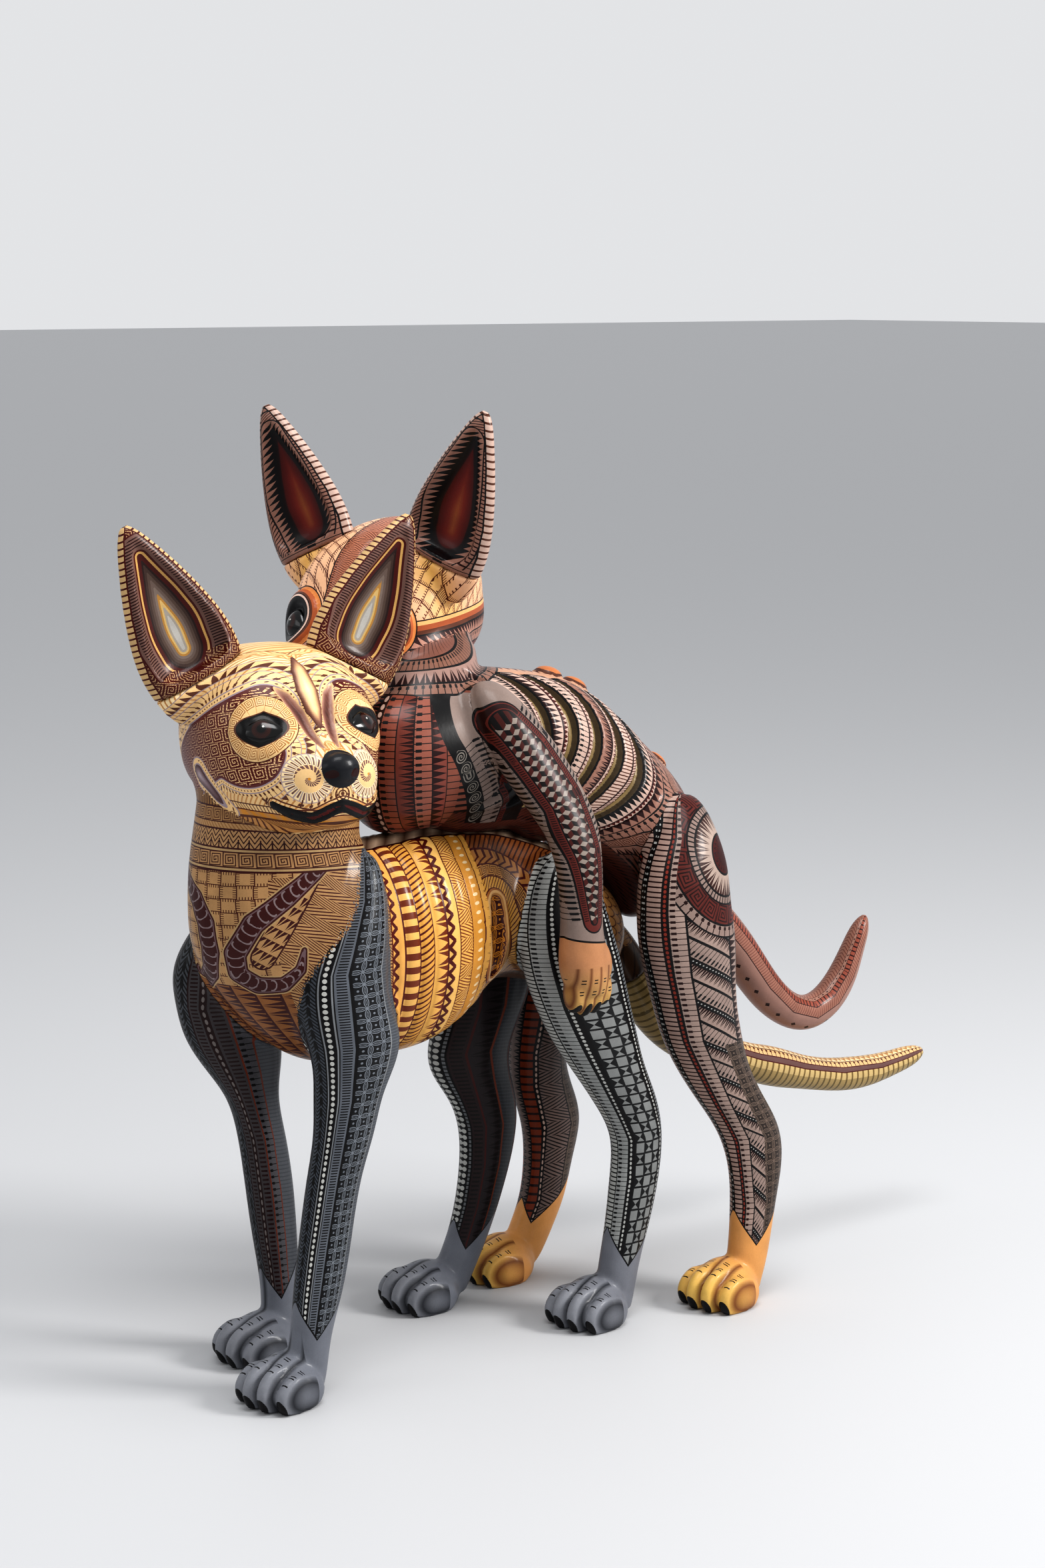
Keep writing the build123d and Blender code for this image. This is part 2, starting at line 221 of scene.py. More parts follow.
def limb_coordinates(points, table, sign):
    """Length up a limb and turn from its front (0) to its back (1)."""
    table = np.array(sorted(table), float)
    heights = table[:, 0]
    middle_x = np.interp(points[:, 2], heights, table[:, 1]) * sign
    middle_y = np.interp(points[:, 2], heights, table[:, 2])
    half_x = np.interp(points[:, 2], heights, table[:, 3])
    half_y = np.interp(points[:, 2], heights, table[:, 4])
    slope = np.hypot(np.diff(heights), np.diff(table[:, 2]))
    lengths = heights[0] + np.concatenate([[0], np.cumsum(slope)])
    along = np.interp(points[:, 2], heights, lengths)
    out = (points[:, 0] - middle_x) * sign / half_x
    front = -(points[:, 1] - middle_y) / half_y
    return along, np.abs(np.arctan2(out, front)) / math.pi


# ---------------------------------------------------------------- paint


def linear(hex_colour):
    """Linear colour from a printed colour such as D9B88A."""
    parts = [int(hex_colour[i : i + 2], 16) / 255 for i in (0, 2, 4)]
    return tuple(
        (c / 12.92 if c <= 0.04045 else ((c + 0.055) / 1.055) ** 2.4) for c in parts
    ) + (1.0,)


class Value:
    """One number in a paint recipe, with ordinary arithmetic."""

    def __init__(self, paint, socket):
        self.paint = paint
        self.socket = socket

    def __truediv__(self, number):
        return self * (1 / number)

    def __rsub__(self, other):
        return self.paint.math("SUBTRACT", other, self)

    def __invert__(self):
        return self.paint.math("SUBTRACT", 1.0, self)

    def centred(self):
        """Place inside a repeating cell of length 1, from -0.5 to 0.5."""
        return self.fract() - 0.5

    def mirrored(self):
        """Distance from the middle of a repeating cell of length 1, from 0 to 0.5."""
        return abs(self.fract() - 0.5)

    def between(self, low, high):
        return (self > low) & (self < high)


def value_method(operation):
    return lambda value, other=None: value.paint.math(operation, value, other)


# A mask is a value of 0 or 1, so "and" multiplies and "or" takes the larger.
for method, operation in {
    "__add__": "ADD", "__radd__": "ADD", "__sub__": "SUBTRACT", "__mul__": "MULTIPLY",
    "__rmul__": "MULTIPLY", "__and__": "MULTIPLY", "__or__": "MAXIMUM", "__lt__": "LESS_THAN",
    "__gt__": "GREATER_THAN", "__abs__": "ABSOLUTE", "fract": "FRACT", "floor": "FLOOR",
    "root": "SQRT", "least": "MINIMUM", "most": "MAXIMUM",
}.items():
    setattr(Value, method, value_method(operation))


class Paint:
    """A material whose colour is built up coat by coat."""

    def __init__(self, name):
        self.material = bpy.data.materials.new(name)
        self.material.use_nodes = True
        self.tree = self.material.node_tree
        self.tree.nodes.clear()
        self.colour = None
        self.relief = None

    def node(self, kind, **settings):
        made = self.tree.nodes.new(kind)
        for key, value in settings.items():
            setattr(made, key, value)
        return made

    def plug(self, socket, value):
        if isinstance(value, Value):
            self.tree.links.new(value.socket, socket)
        elif hasattr(value, "is_output"):
            self.tree.links.new(value, socket)
        else:
            socket.default_value = value

    def math(self, operation, first, second=None, third=None):
        made = self.node("ShaderNodeMath", operation=operation)
        for index, value in enumerate((first, second, third)):
            if value is not None:
                self.plug(made.inputs[index], value)
        return Value(self, made.outputs[0])

    def angle(self, rise, run):
        return self.math("ARCTAN2", rise, run)

    def field(self, name):
        """The three numbers of a stored field."""
        source = self.node("ShaderNodeAttribute", attribute_name=name)
        split = self.node("ShaderNodeSeparateXYZ")
        self.tree.links.new(source.outputs["Vector"], split.inputs[0])
        return [Value(self, split.outputs[i]) for i in range(3)]

    def noise(self, scale, detail=2.0, stretch=None):
        where = self.node("ShaderNodeTexCoord").outputs["Object"]
        if stretch:
            mapping = self.node("ShaderNodeMapping")
            self.tree.links.new(where, mapping.inputs["Vector"])
            mapping.inputs["Scale"].default_value = stretch
            where = mapping.outputs[0]
        made = self.node("ShaderNodeTexNoise")
        self.tree.links.new(where, made.inputs["Vector"])
        made.inputs["Scale"].default_value = scale
        made.inputs["Detail"].default_value = detail
        return Value(self, made.outputs[0])

    def blend(self, mask, under, over):
        made = self.node("ShaderNodeMix", data_type="RGBA")
        self.plug(made.inputs[0], mask)
        for socket, value in ((made.inputs[6], under), (made.inputs[7], over)):
            self.plug(socket, linear(value) if isinstance(value, str) else value)
        return made.outputs[2]

    def ramp(self, value, stops, sharp=False):
        """Run of colours over a number from 0 to 1, smooth or in steps."""
        made = self.node("ShaderNodeValToRGB")
        self.plug(made.inputs[0], value)
        ramp = made.color_ramp
        if sharp:
            ramp.interpolation = "CONSTANT"
        while len(ramp.elements) < len(stops):
            ramp.elements.new(0.5)
        for element, (position, colour) in zip(ramp.elements, stops):
            element.position = position
            element.color = linear(colour)
        return made.outputs[0]

    def ground(self, colour):
        self.colour = self.blend(0.0, colour, colour)

    def coat(self, mask, colour):
        """Paints a colour where the mask is 1."""
        self.colour = self.blend(mask, self.colour, colour)

    def bands(self, along, across, rows, start=0.0, where=None):
        """Parallel painted bands.  Each row: outer edge, pattern, size, ground, ink."""
        under = self.colour
        layers = []
        low = start
        for high, kind, size, ground, ink in rows:
            layers.append((low, high, kind, size, ground, ink))
            low = high
        colour = under
        for low, high, kind, size, ground, ink in reversed(layers):
            paint = ground
            if kind is not None:
                width = high - low
                share = (across - low) * (1.0 / width)
                paint = self.blend(kind(along, share, size), ground, ink)
            colour = self.blend(across < high, colour, paint)
        inside = across > start
        if where is not None:
            inside = inside & where
        self.colour = self.blend(inside, under, colour)

    def finish(self, roughness=0.46, coat=0.12, grain=0.0003, level=0.56):
        """Hand-painted unevenness, fine wood grain and satin varnish."""
        wash = self.noise(70.0, 3.0)
        fleck = self.noise(900.0, 2.0)
        shade = wash * 0.26 + fleck * 0.12 + level
        tint = self.node("ShaderNodeMix", data_type="RGBA", blend_type="MULTIPLY")
        tint.inputs[0].default_value = 1.0
        self.plug(tint.inputs[6], self.colour)
        grey = self.node("ShaderNodeCombineColor")
        for index in range(3):
            self.plug(grey.inputs[index], shade)
        self.tree.links.new(grey.outputs[0], tint.inputs[7])
        deepen = self.node("ShaderNodeGamma")
        deepen.inputs["Gamma"].default_value = 1.2
        self.tree.links.new(tint.outputs[2], deepen.inputs["Color"])
        shader = self.node("ShaderNodeBsdfPrincipled")
        self.tree.links.new(deepen.outputs[0], shader.inputs["Base Color"])
        self.plug(shader.inputs["Roughness"], wash * 0.2 + (roughness - 0.1))
        shader.inputs["Specular IOR Level"].default_value = 0.14
        shader.inputs["Coat Weight"].default_value = coat
        shader.inputs["Coat Roughness"].default_value = 0.16
        bump = self.node("ShaderNodeBump")
        bump.inputs["Strength"].default_value = 0.35
        bump.inputs["Distance"].default_value = grain
        self.plug(bump.inputs["Height"], self.noise(420.0, 3.0, (1.0, 1.0, 0.25)))
        self.tree.links.new(bump.outputs[0], shader.inputs["Normal"])
        output = self.node("ShaderNodeOutputMaterial")
        self.tree.links.new(shader.outputs[0], output.inputs["Surface"])
        return self.material


def line(edge, colour="120F13"):
    """A band of one colour, by default black, up to the edge."""
    return (edge, None, 1, colour, colour)


# Patterns.  along: millimetres along the band; share: 0 to 1 across it.


def ticks(along, share, size):
    return (along / size).fract() < 0.3


def wide_ticks(along, share, size):
    return (along / size).fract() < 0.5


def comb(along, share, size):
    """Teeth that reach a bit over half way."""
    return ((along / size).fract() < 0.42) & (share < 0.62)


def pegs(along, share, size):
    """Fine lines with a rounded stub at one edge."""
    cell = (along / size).mirrored()
    return (cell < 0.07) | ((cell < 0.22) & (share < 0.42) & (share > 0.08))


def keys(along, share, size):
    """Long meander like the teeth of two combs."""
    cell = (along / size).fract()
    return ((cell < 0.22) | (cell.between(0.5, 0.72))) & share.between(0.16, 0.84)


def teeth(along, share, size):
    """Triangles standing on the first edge."""
    return (along / size).mirrored() * 2 > share


def fangs(along, share, size):
    """Triangles hanging from the second edge, with a line between them."""
    cell = (along / size).mirrored()
    return (cell * 2 < share) & (cell > 0.06)


def arrows(along, share, size):
    """Nested arrow heads that point across the band."""
    cell = (along / size).mirrored()
    return ((share * 3 + cell * 2.6).fract() < 0.34) | ((cell < 0.07) & (share < 0.5))


def chevrons(along, share, size):
    """Nested arrow heads along the band."""
    return (along / size + abs(share - 0.5) * 1.4).fract() < 0.36


def feathers(along, share, size):
    """Herringbone with a dark scalloped spine."""
    lean = abs(share - 0.5)
    vane = ((along * (3 / size)) + lean * 3.0).fract() < 0.45
    spine = (lean < 0.17) & ((along / size + lean * 1.5).fract() < 0.7)
    return vane | spine


def beads(along, share, size):
    cell = (along / size).centred()
    side = share - 0.5
    return (cell * cell + side * side * 0.9) < 0.13


def dots(along, share, size):
    cell = (along / size).centred()
    side = share - 0.5
    return (cell * cell + side * side * 0.9) < 0.035


def hatch(along, share, size):
    return (along / size + share * 1.2).fract() < 0.34


def cross_hatch(along, share, size):
    """Panels of strokes that turn from one panel to the next."""
    row = (along / size).floor()
    turn = (row * 0.5).fract() * 4 - 1
    return ((along * (4 / size)) + share * turn * 3).fract() < 0.4


def frets(along, share, size):
    """Boxes that hold square spirals, between two plain lines."""
    x = (along / size).centred()
    y = (share - 0.5) * 0.9
    reach = abs(x).most(abs(y))
    turn = share.paint.angle(y, x) / (2 * math.pi)
    return (reach * 6.2 + turn).fract() < 0.42


def waves(along, share, size):
    """Running spiral scrolls."""
    x = (along / size).centred()
    y = (share - 0.5) * 0.9
    reach = (x * x + y * y).root()
    turn = share.paint.angle(y, x) / (2 * math.pi)
    return ((reach * 5.5 + turn).fract() < 0.4) & (reach < 0.47)


def rings_row(along, share, size):
    """Row of overlapping rings."""
    x = (along / size).centred()
    y = share - 0.5
    reach = (x * x * 0.8 + y * y).root()
    return reach.between(0.35, 0.47) & (x > -0.12)


def weave(across, up, size):
    """Basket work of crossing straps, hatched where one goes under the next."""
    x = across / size
    y = up / size
    parity = ((x.floor() + y.floor()) * 0.5).fract() > 0.25
    cell_x = x.mirrored()
    cell_y = y.mirrored()
    level = (cell_y > 0.43) | (((y * 6).fract() < 0.34) & (cell_x > 0.30))
    upright = (cell_x > 0.43) | (((x * 6).fract() < 0.34) & (cell_y > 0.30))
    return (parity & level) | (~parity & upright)


def labyrinth(across, up, size):
    """Square spirals of short dashes, each row shifted half a cell."""
    y = up / size
    x = across / size + (y.floor() * 0.5).fract()
    box_x = x.centred()
    box_y = y.centred()
    turn = x.paint.angle(box_y, box_x) / (2 * math.pi)
    spiral = (abs(box_x).most(abs(box_y)) * 5 + turn).fract() < 0.36
    dash = ((x + y) * 5.0).fract() < 0.8
    return spiral & dash


def petals(across, up, size):
    """Outlined four-petalled lattice with a dot in each petal."""
    x = (across / size).mirrored()
    y = (up / size).mirrored()
    far = 0.5 - x.most(y)
    near = 0.5 + x.least(y)
    lens = far * far + near * near
    corner_x, corner_y = 0.5 - x, 0.5 - y
    dot = (corner_x * corner_x + corner_y * corner_y) < 0.008
    return lens.between(0.41, 0.5) | lens.between(0.29, 0.33) | dot


def block_face(across, up, size):
    """Which face of a tumbling-block pattern: 0 top, 1 left, 2 right."""
    paint = across.paint
    x = across / size
    y = up * (1 / (size * math.sqrt(3)))
    ax, ay = x.centred(), y.centred() * math.sqrt(3)
    bx, by = (x + 0.5).centred(), (y + 0.5).centred() * math.sqrt(3)
    first = (ax * ax + ay * ay) < (bx * bx + by * by)
    dx = first * ax + ~first * bx
    dy = first * ay + ~first * by
    turn = paint.angle(dy, dx) / (2 * math.pi) - 1 / 12
    return (turn.fract() * 3).floor()


def checks(across, up, size):
    """Checkerboard with an hourglass in every dark square."""
    x = across / size
    y = up / size
    parity = ((x.floor() + y.floor()) * 0.5).fract() > 0.25
    glass = abs(x.centred()) > abs(y.centred())
    reach = x.mirrored().most(y.mirrored())
    return (~parity & (reach > 0.43)) | (parity & (glass | (reach > 0.38)))


def scales(across, up, size):
    """Overlapping scales."""
    y = up / size
    shift = (y.floor() * 0.5).fract()
    x = (across / size + shift).centred()
    rise = y.fract()
    return abs((x * x * 2.2 + rise * rise * 0.9) - 0.55) < 0.12

# ---------------------------------------------------------------- colours

CREAM = "E6C594"
CHEST = "E6BA86"
PALE_CREAM = "F0D9B0"
TAN = "C2935E"
GOLD = "CF9440"
AMBER = "B8772B"
MAROON = "5E1A13"
DARK_MAROON = "360D0C"
MAUVE = "7A5A56"
LILAC = "A3949A"
BLACK = "120F13"
GREY = "797D85"
DARK_GREY = "3B3D43"
SILVER = "AEB1B4"
WHITE = "D6D7D3"
PINK = "AE8677"
PALE_PINK = "DABFB2"
GREY_PINK = "94807A"
BROWN = "68402F"
RUST = "8C4426"
ORANGE = "CE8A52"
YELLOW = "DDB45E"
OLIVE = "55452C"
# painted highlight on the bead inside the rear dog's rib grooves
OLIVE_PAINTED_HIGHLIGHT = "A08A60"
COPPER = "B97F66"

# ---------------------------------------------------------------- head


def head_directions(dog, facing, nod):
    """Middle of the skull and its forward, left and up, from the two eyes."""
    low_a, high_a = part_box(dog + "_eye_left")
    low_b, high_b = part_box(dog + "_eye_right")
    eyes = np.array((low_a + high_a + low_b + high_b) / 4)
    level = np.array([facing[0], facing[1], 0.0])
    level /= np.linalg.norm(level)
    left = np.array([-level[1], level[0], 0.0])
    angle = math.radians(nod)
    forward = level * math.cos(angle) - np.array([0, 0, 1]) * math.sin(angle)
    up = np.array([0, 0, 1]) * math.cos(angle) + level * math.sin(angle)
    centre = eyes - (forward * EYE_FORWARD + up * EYE_UP) * MM
    return centre, forward, left, up


EYE_FORWARD = 54.0
EYE_SIDE = 41.0
EYE_UP = 7.0
HEADS = {
    "front": head_directions("front", (0.988, -0.151), 0.0),
    "rear": head_directions("rear", (0.28, -0.96), 18.0),
}


def in_head(dog, places):
    """Forward, left and up of the skull, in millimetres."""
    centre, forward, left, up = HEADS[dog]
    offset = (places - centre) / MM
    return np.stack([offset @ forward, offset @ left, offset @ up], 1)


MASK_PATH = [
    (45, 28, 14, 23), (34, 44, 6, 23), (0, 62, -20, 22), (-20, 60, -34, 20), (0, 62, -20, 22),
    (34, 58, -6, 20), (55, 50, -13, 22), (70, 38, -13, 14),
]
TEAR_PATH = [(7, 61, -29, 6.5), (15, 58, -35, 4.5), (22, 55, -42, 3), (31, 47, -52, 1)]
BROW_PATH = [
    (39, 25, 35, 0.5), (50, 16, 27, 3.5), (60, 11, 17, 4), (73, 8, 4, 3), (89, 5, -5, 0.5),
]
RIDGE_PATH = [
    (22, 0, 51, 0.5), (36, 0, 42, 5.5), (49, 0, 30, 7.5), (60, 0, 18, 5.5), (73, 0, 6, 0.5),
]
LIP_PATH = [
    (76, 38, -42, 2.5), (88, 30, -47, 4), (97, 19, -50, 4), (103, 8, -45, 4),
    (105, 0, -42, 4),
]

def head_fields(thing, dog):
    spot = in_head(dog, positions(thing))
    mirrored = spot.copy()
    mirrored[:, 1] = np.abs(mirrored[:, 1])
    save_field(thing, "head", mirrored[:, 0], mirrored[:, 1], mirrored[:, 2])
    turn = np.arctan2(mirrored[:, 2] + 2, mirrored[:, 0] - 44) * 42
    mask = stroke(mirrored, smooth_path(MASK_PATH, 80, 9))[1]
    tear = stroke(mirrored, TEAR_PATH)[1]
    save_field(thing, "mask", turn, mask, tear)
    brow = stroke(mirrored, BROW_PATH)[1]
    ridge = stroke(mirrored, RIDGE_PATH)[1]
    lip = stroke(mirrored, LIP_PATH)[1]
    save_field(thing, "face", brow, ridge, lip)


def eye_spot(paint, forward, side, up, centre):
    """Distance from the middle of the eye, and turn round it."""
    a = forward - centre[0]
    b = side - centre[1]
    c = up - centre[2]
    level = (b - a * 0.8) * 0.78
    reach = (a * a + b * b + c * c).root()
    turn = paint.angle(c, level)
    return reach, turn, level, c


def front_head_paint():
    paint = Paint("front_head_paint")
    forward, side, up = paint.field("head")
    turn, mask, tear = paint.field("mask")
    brow, ridge, lip = paint.field("face")
    paint.ground(CREAM)
    # forehead and crown: bands that run round the mask
    paint.bands(
        turn,
        mask,
        [
            line(0.9, LILAC),
            (3.6, dots, 3.0, CREAM, MAROON), line(4.4, LILAC),
            (10.4, pegs, 3.6, CREAM, BROWN), line(11.0, LILAC),
            (13.6, ticks, 2.6, CREAM, TAN), line(14.2, LILAC),
            (20.0, teeth, 3.6, CREAM, BROWN), line(20.6, LILAC),
            (26.0, hatch, 3.0, PALE_CREAM, TAN), line(26.6, TAN),
            (32.0, arrows, 5.0, CREAM, TAN), line(32.6, MAROON),
            (60.0, hatch, 3.0, CREAM, TAN),
        ],
    )
    # jaw: level stripes
    jaw = (up < -38) & (mask > 6)
    paint.bands(
        forward,
        -1.0 * (up + 38),
        [
            (6.0, hatch, 4.0, CREAM, TAN), line(7.0, BROWN),
            (11.0, ticks, 3.0, CREAM, BROWN), line(12.0, MAROON),
            (16.0, wide_ticks, 9.0, GOLD, TAN), line(18.0, BROWN),
            (30.0, hatch, 3.0, TAN, BROWN),
        ],
        where=jaw,
    )
    # mask with a stepped maze of cream dashes
    maze = labyrinth(forward * 0.9 + up * 0.25, up - forward * 0.2, 10.0)
    cloth = paint.blend((forward * 0.02 + 0.1).most(0).least(1), "683634", "5E1A13")
    thread = paint.blend((forward * 0.016 + 0.3).most(0).least(1), "9A7A70", "E0BC90")
    paint.coat(mask < 0, paint.blend(maze, cloth, thread))
    paint.coat(mask.between(-1.8, 0.0), "6B3A38")
    # teardrop on the cheek
    paint.coat(tear < 6.6, LILAC)
    paint.coat(tear < 5.6, CREAM)
    paint.coat((tear < 5.4) & (tear > 2.4) & dots(turn, (tear - 2.4) * 0.33, 2.6), MAROON)
    paint.coat(tear < 2.2, LILAC)
    tear_stops = [(0.0, "5F4446"), (0.35, "8C757A"), (1.0, "C9BFC3")]
    paint.coat(tear < 1.2, paint.ramp(tear * -0.14, tear_stops))
    # sunflower beside the nose
    sun_a, sun_b, sun_c = forward - 96, side - 22, up + 23
    sun = (sun_a * sun_a * 0.4 + sun_b * sun_b + sun_c * sun_c).root()
    sun_turn = paint.angle(sun_c, sun_b) / (2 * math.pi)
    petal = (sun_turn * 26 + sun * 0.05).mirrored()
    paint.coat(sun < 17, "B3A2A0")
    paint.coat((sun < 16.4) & (petal < 0.38), PALE_CREAM)
    paint.coat((sun < 15) & (petal < 0.16) & (sun > 10), MAUVE)
    coil_arm = (sun * 0.11 + sun_turn).fract()
    paint.coat(sun < 9.5, CREAM)
    rays = (sun_turn * 20 + sun * 0.1).mirrored() < 0.34
    paint.coat((sun < 9.5) & (coil_arm < 0.34) & rays, MAUVE)
    paint.coat(sun < 2, GOLD)
    # small spiral under the nose and petals over the lip
    coil = (side * side + (up + 34) * (up + 34)).root()
    coil_turn = paint.angle(up + 34, side) / (2 * math.pi)
    snout = forward > 92
    paint.coat((coil < 8) & snout, CREAM)
    paint.coat((coil < 7.4) & snout & ((coil * 0.42 + coil_turn).fract() < 0.4), BROWN)
    paint.coat(lip.between(2.0, 3.0) & (up > -46), BROWN)
    lip_pegs = pegs(side + forward * 0.6, (lip - 3) * 0.2, 3.6)
    paint.coat(lip.between(3.0, 8.0) & lip_pegs & (up > -46), BROWN)
    # eye ring with boxed spirals
    reach, eye_turn, level, rise = eye_spot(paint, forward, side, up, RING_AT)
    paint.coat(reach < 25.0, BROWN)
    paint.coat(reach < 24.2, CREAM)
    ring_along = eye_turn * (8 / math.pi) * 8.0
    ring_share = (reach - 15.4) / 8.4
    paint.coat(reach.between(15.4, 23.6) & frets(ring_along, ring_share, 8.0), "9C6C3E")
    paint.coat((ring_along / 8.0).fract().between(0.0, 0.06) & (reach < 23.6), TAN)
    almond = abs(level) / 17.5 + (rise * rise) / 132.0
    paint.coat((almond < 1.06) & (reach < 22), BROWN)
    paint.coat((almond < 0.97) & (reach < 22), "060405")
    # brow groove: mauve paint at its edges, darkened as painted shade towards its middle;
    # forehead ridge: cream paint with a painted highlight along its crest and painted shade on
    # its brown edges
    brow_groove_shade_stops = [(0.0, "3A1C18"), (0.45, "7C5348"), (0.8, "B08C7C"), (1.0, CREAM)]
    paint.coat(brow < 1.0, paint.ramp((brow + 4.2) * 0.19, brow_groove_shade_stops))
    ridge_highlight_and_shade_stops = [(0.0, "F6E3BC"), (0.5, "DDB98C"), (0.8, "8C6454"), (1.0, "5C342C")]
    paint.coat(ridge < 0.6, paint.ramp((ridge + 7.5) * 0.123, ridge_highlight_and_shade_stops))
    # nose, nostrils and lips
    nose_a, nose_b, nose_c = forward - 101, side, up + 17
    nose = (nose_a * nose_a * 0.55 + nose_b * nose_b + nose_c * nose_c * 1.2).root()
    paint.coat((nose < 14.5) & (forward > 86), "25262B")
    nostril_b, nostril_c = side - 9, up + 20
    nostril = (nostril_b * nostril_b + nostril_c * nostril_c * 1.6).root()
    paint.coat((nostril < 4.2) & (forward > 96), DARK_MAROON)
    paint.coat(lip < 0.8, BLACK)
    paint.coat(lip < -2.6, MAROON)
    return paint.finish(0.42, 0.16, level=0.8)


RING_AT = (56.0, 37.0, 7.0)


def rear_head_paint():
    paint = Paint("rear_head_paint")
    forward, side, up = paint.field("head")
    lip = paint.field("face")[2]
    paint.ground("E2B896")
    basket = weave(forward * 0.8 + side * 0.6, up * 0.8 + forward * 0.5 - side * 0.5, 8.5)
    from_glow = ((forward - 10) * (forward - 10) + (side - 58) * (side - 58)).root()
    glow = (0.8 - from_glow * 0.035).most(0)
    paint.coat(glow, YELLOW)
    paint.coat(basket, "5C2A1E")
    # cheek band of orange stripes, then rings of triangles below it
    fall = up - forward * 0.22
    paint.bands(
        forward + side * 0.5,
        -1.0 * (fall + 2),
        [
            line(1.0),
            (4.0, None, 1, "E0B27C", TAN),
            (8.0, None, 1, "A9623F", BROWN), line(11.0, BROWN), line(12.2),
            (20.0, teeth, 5.0, PINK, DARK_MAROON), line(21.2),
            (29.0, pegs, 4.0, PINK, BLACK), line(30.2),
            (40.0, teeth, 6.0, PINK, MAROON), line(41.2),
            (90.0, pegs, 4.0, GREY_PINK, BLACK),
        ],
    )
    # ridge along the forehead
    paint.coat(side < 14, COPPER)
    paint.coat((side < 13) & cross_hatch(forward - up, side * 0.08, 9.0), BROWN)
    paint.coat(side.between(10.5, 12.5) & ticks(forward - up, side, 3.0), DARK_MAROON)
    paint.coat(side.between(13, 14.2), BLACK)
    # eye lids
    reach = eye_spot(paint, forward, side, up, RING_AT)[0]
    paint.coat(reach < 27, BLACK)
    paint.coat(reach < 26, ORANGE)
    paint.coat(reach < 23.5, "B2673F")
    paint.coat(reach < 21, BROWN)
    paint.coat(reach < 19.5, BLACK)
    paint.coat(reach < 18.7, PALE_PINK)
    paint.coat(reach < 17.2, BLACK)
    nose_a, nose_c = forward - 101, up + 17
    nose = (nose_a * nose_a * 0.55 + side * side + nose_c * nose_c * 1.2).root()
    paint.coat((nose < 14.5) & (forward > 86), BLACK)
    paint.coat(lip < 0.8, BLACK)
    paint.coat(lip < -2.6, MAROON)
    return paint.finish(0.42, 0.16, level=0.9)


# ---------------------------------------------------------------- ears

EAR_ROOT = (-2.0, 57.0, 36.0)
EAR_LEANS = {"front": (-5.0, 54.0, 109.0), "rear": (6.0, 46.0, 111.0)}
EAR_FLAME = [(24, 0, 0, 16), (42, 0, 0, 17.5), (64, 0, 0, 12.5), (84, 0, 0, 6), (100, 0, 0, 1)]
EAR_OUTLINE = [(0, 0, 0, 36), (20, 0, 0, 38), (42, 0, 0, 35.5), (64, 0, 0, 29.5),
               (84, 0, 0, 22.5),
               (102, 0, 0, 15), (115, 0, 0, 8.5), (122, 0, 0, 3)]


def ear_directions(dog, sign):
    centre, forward, left, up = HEADS[dog]
    root = centre + (forward * EAR_ROOT[0] + left * sign * EAR_ROOT[1] + up * EAR_ROOT[2]) * MM
    level = np.array([forward[0], forward[1], 0.0])
    level /= np.linalg.norm(level)
    lean = EAR_LEANS[dog]
    axis = level * lean[0] + left * sign * lean[1] + np.array([0, 0, 1.0]) * lean[2]
    axis /= np.linalg.norm(axis)
    width = np.cross(level, axis)
    width /= np.linalg.norm(width)
    facing = np.cross(axis, width)
    return root, axis, width, facing


def ear_fields(thing, dog, sign):
    root, axis, width, facing = ear_directions(dog, sign)
    offset = (positions(thing) - root) / MM
    along = offset @ axis
    across = offset @ width
    thick = offset @ facing
    flat = np.stack([along, across, np.zeros(len(along))], 1)
    flame = stroke(flat, smooth_path(EAR_FLAME, 40, 7))[1]
    edge = np.interp(along, [r[0] for r in EAR_OUTLINE], [r[3] for r in EAR_OUTLINE])
    save_field(thing, "ear", along, across, thick)
    save_field(thing, "inner", flame, edge - np.abs(across))


FLAME_STOPS = [
    (0.0, MAROON), (0.09, "3A2420"), (0.16, "55423B"), (0.25, "6B5950"), (0.34, "7E6D65"),
    (0.43, "918279"),
    (0.52, "C29654"), (0.59, "DFC083"), (0.66, "B5AEA4"), (0.74, "CAC7C1"), (0.84, "DADAD7"),
]


def front_ear_paint():
    paint = Paint("front_ear_paint")
    along, across, thick = paint.field("ear")
    flame, edge, _ = paint.field("inner")
    # back and root: maroon with a maze of cream dashes
    paint.ground(MAROON)
    paint.coat(labyrinth(across + along * 0.5, along - across * 0.5, 10.0), "CFA982")
    # rim
    paint.coat(edge.between(-9, 3.2), CREAM)
    paint.coat(edge.between(-9, 3.0) & ticks(along, along, 4.2), MAROON)
    paint.coat(edge.between(2.8, 3.8), MAROON)
    # inside
    front = thick > along * 0.02 - 3.6
    paint.bands(
        along,
        flame,
        [
            line(1.0, MAROON), line(2.6, "E2B978"), line(4.0, MAROON),
            (15.0, keys, 4.0, "8E6E64", "3A1512"), line(16.0, MAROON),
        ],
        where=front & (edge > 3.8) & (along > 16),
        start=-1.0,
    )
    paint.coat((flame < 0) & front, paint.ramp(flame * (-1 / 20.0), FLAME_STOPS, sharp=True))
    return paint.finish(0.4, 0.15)


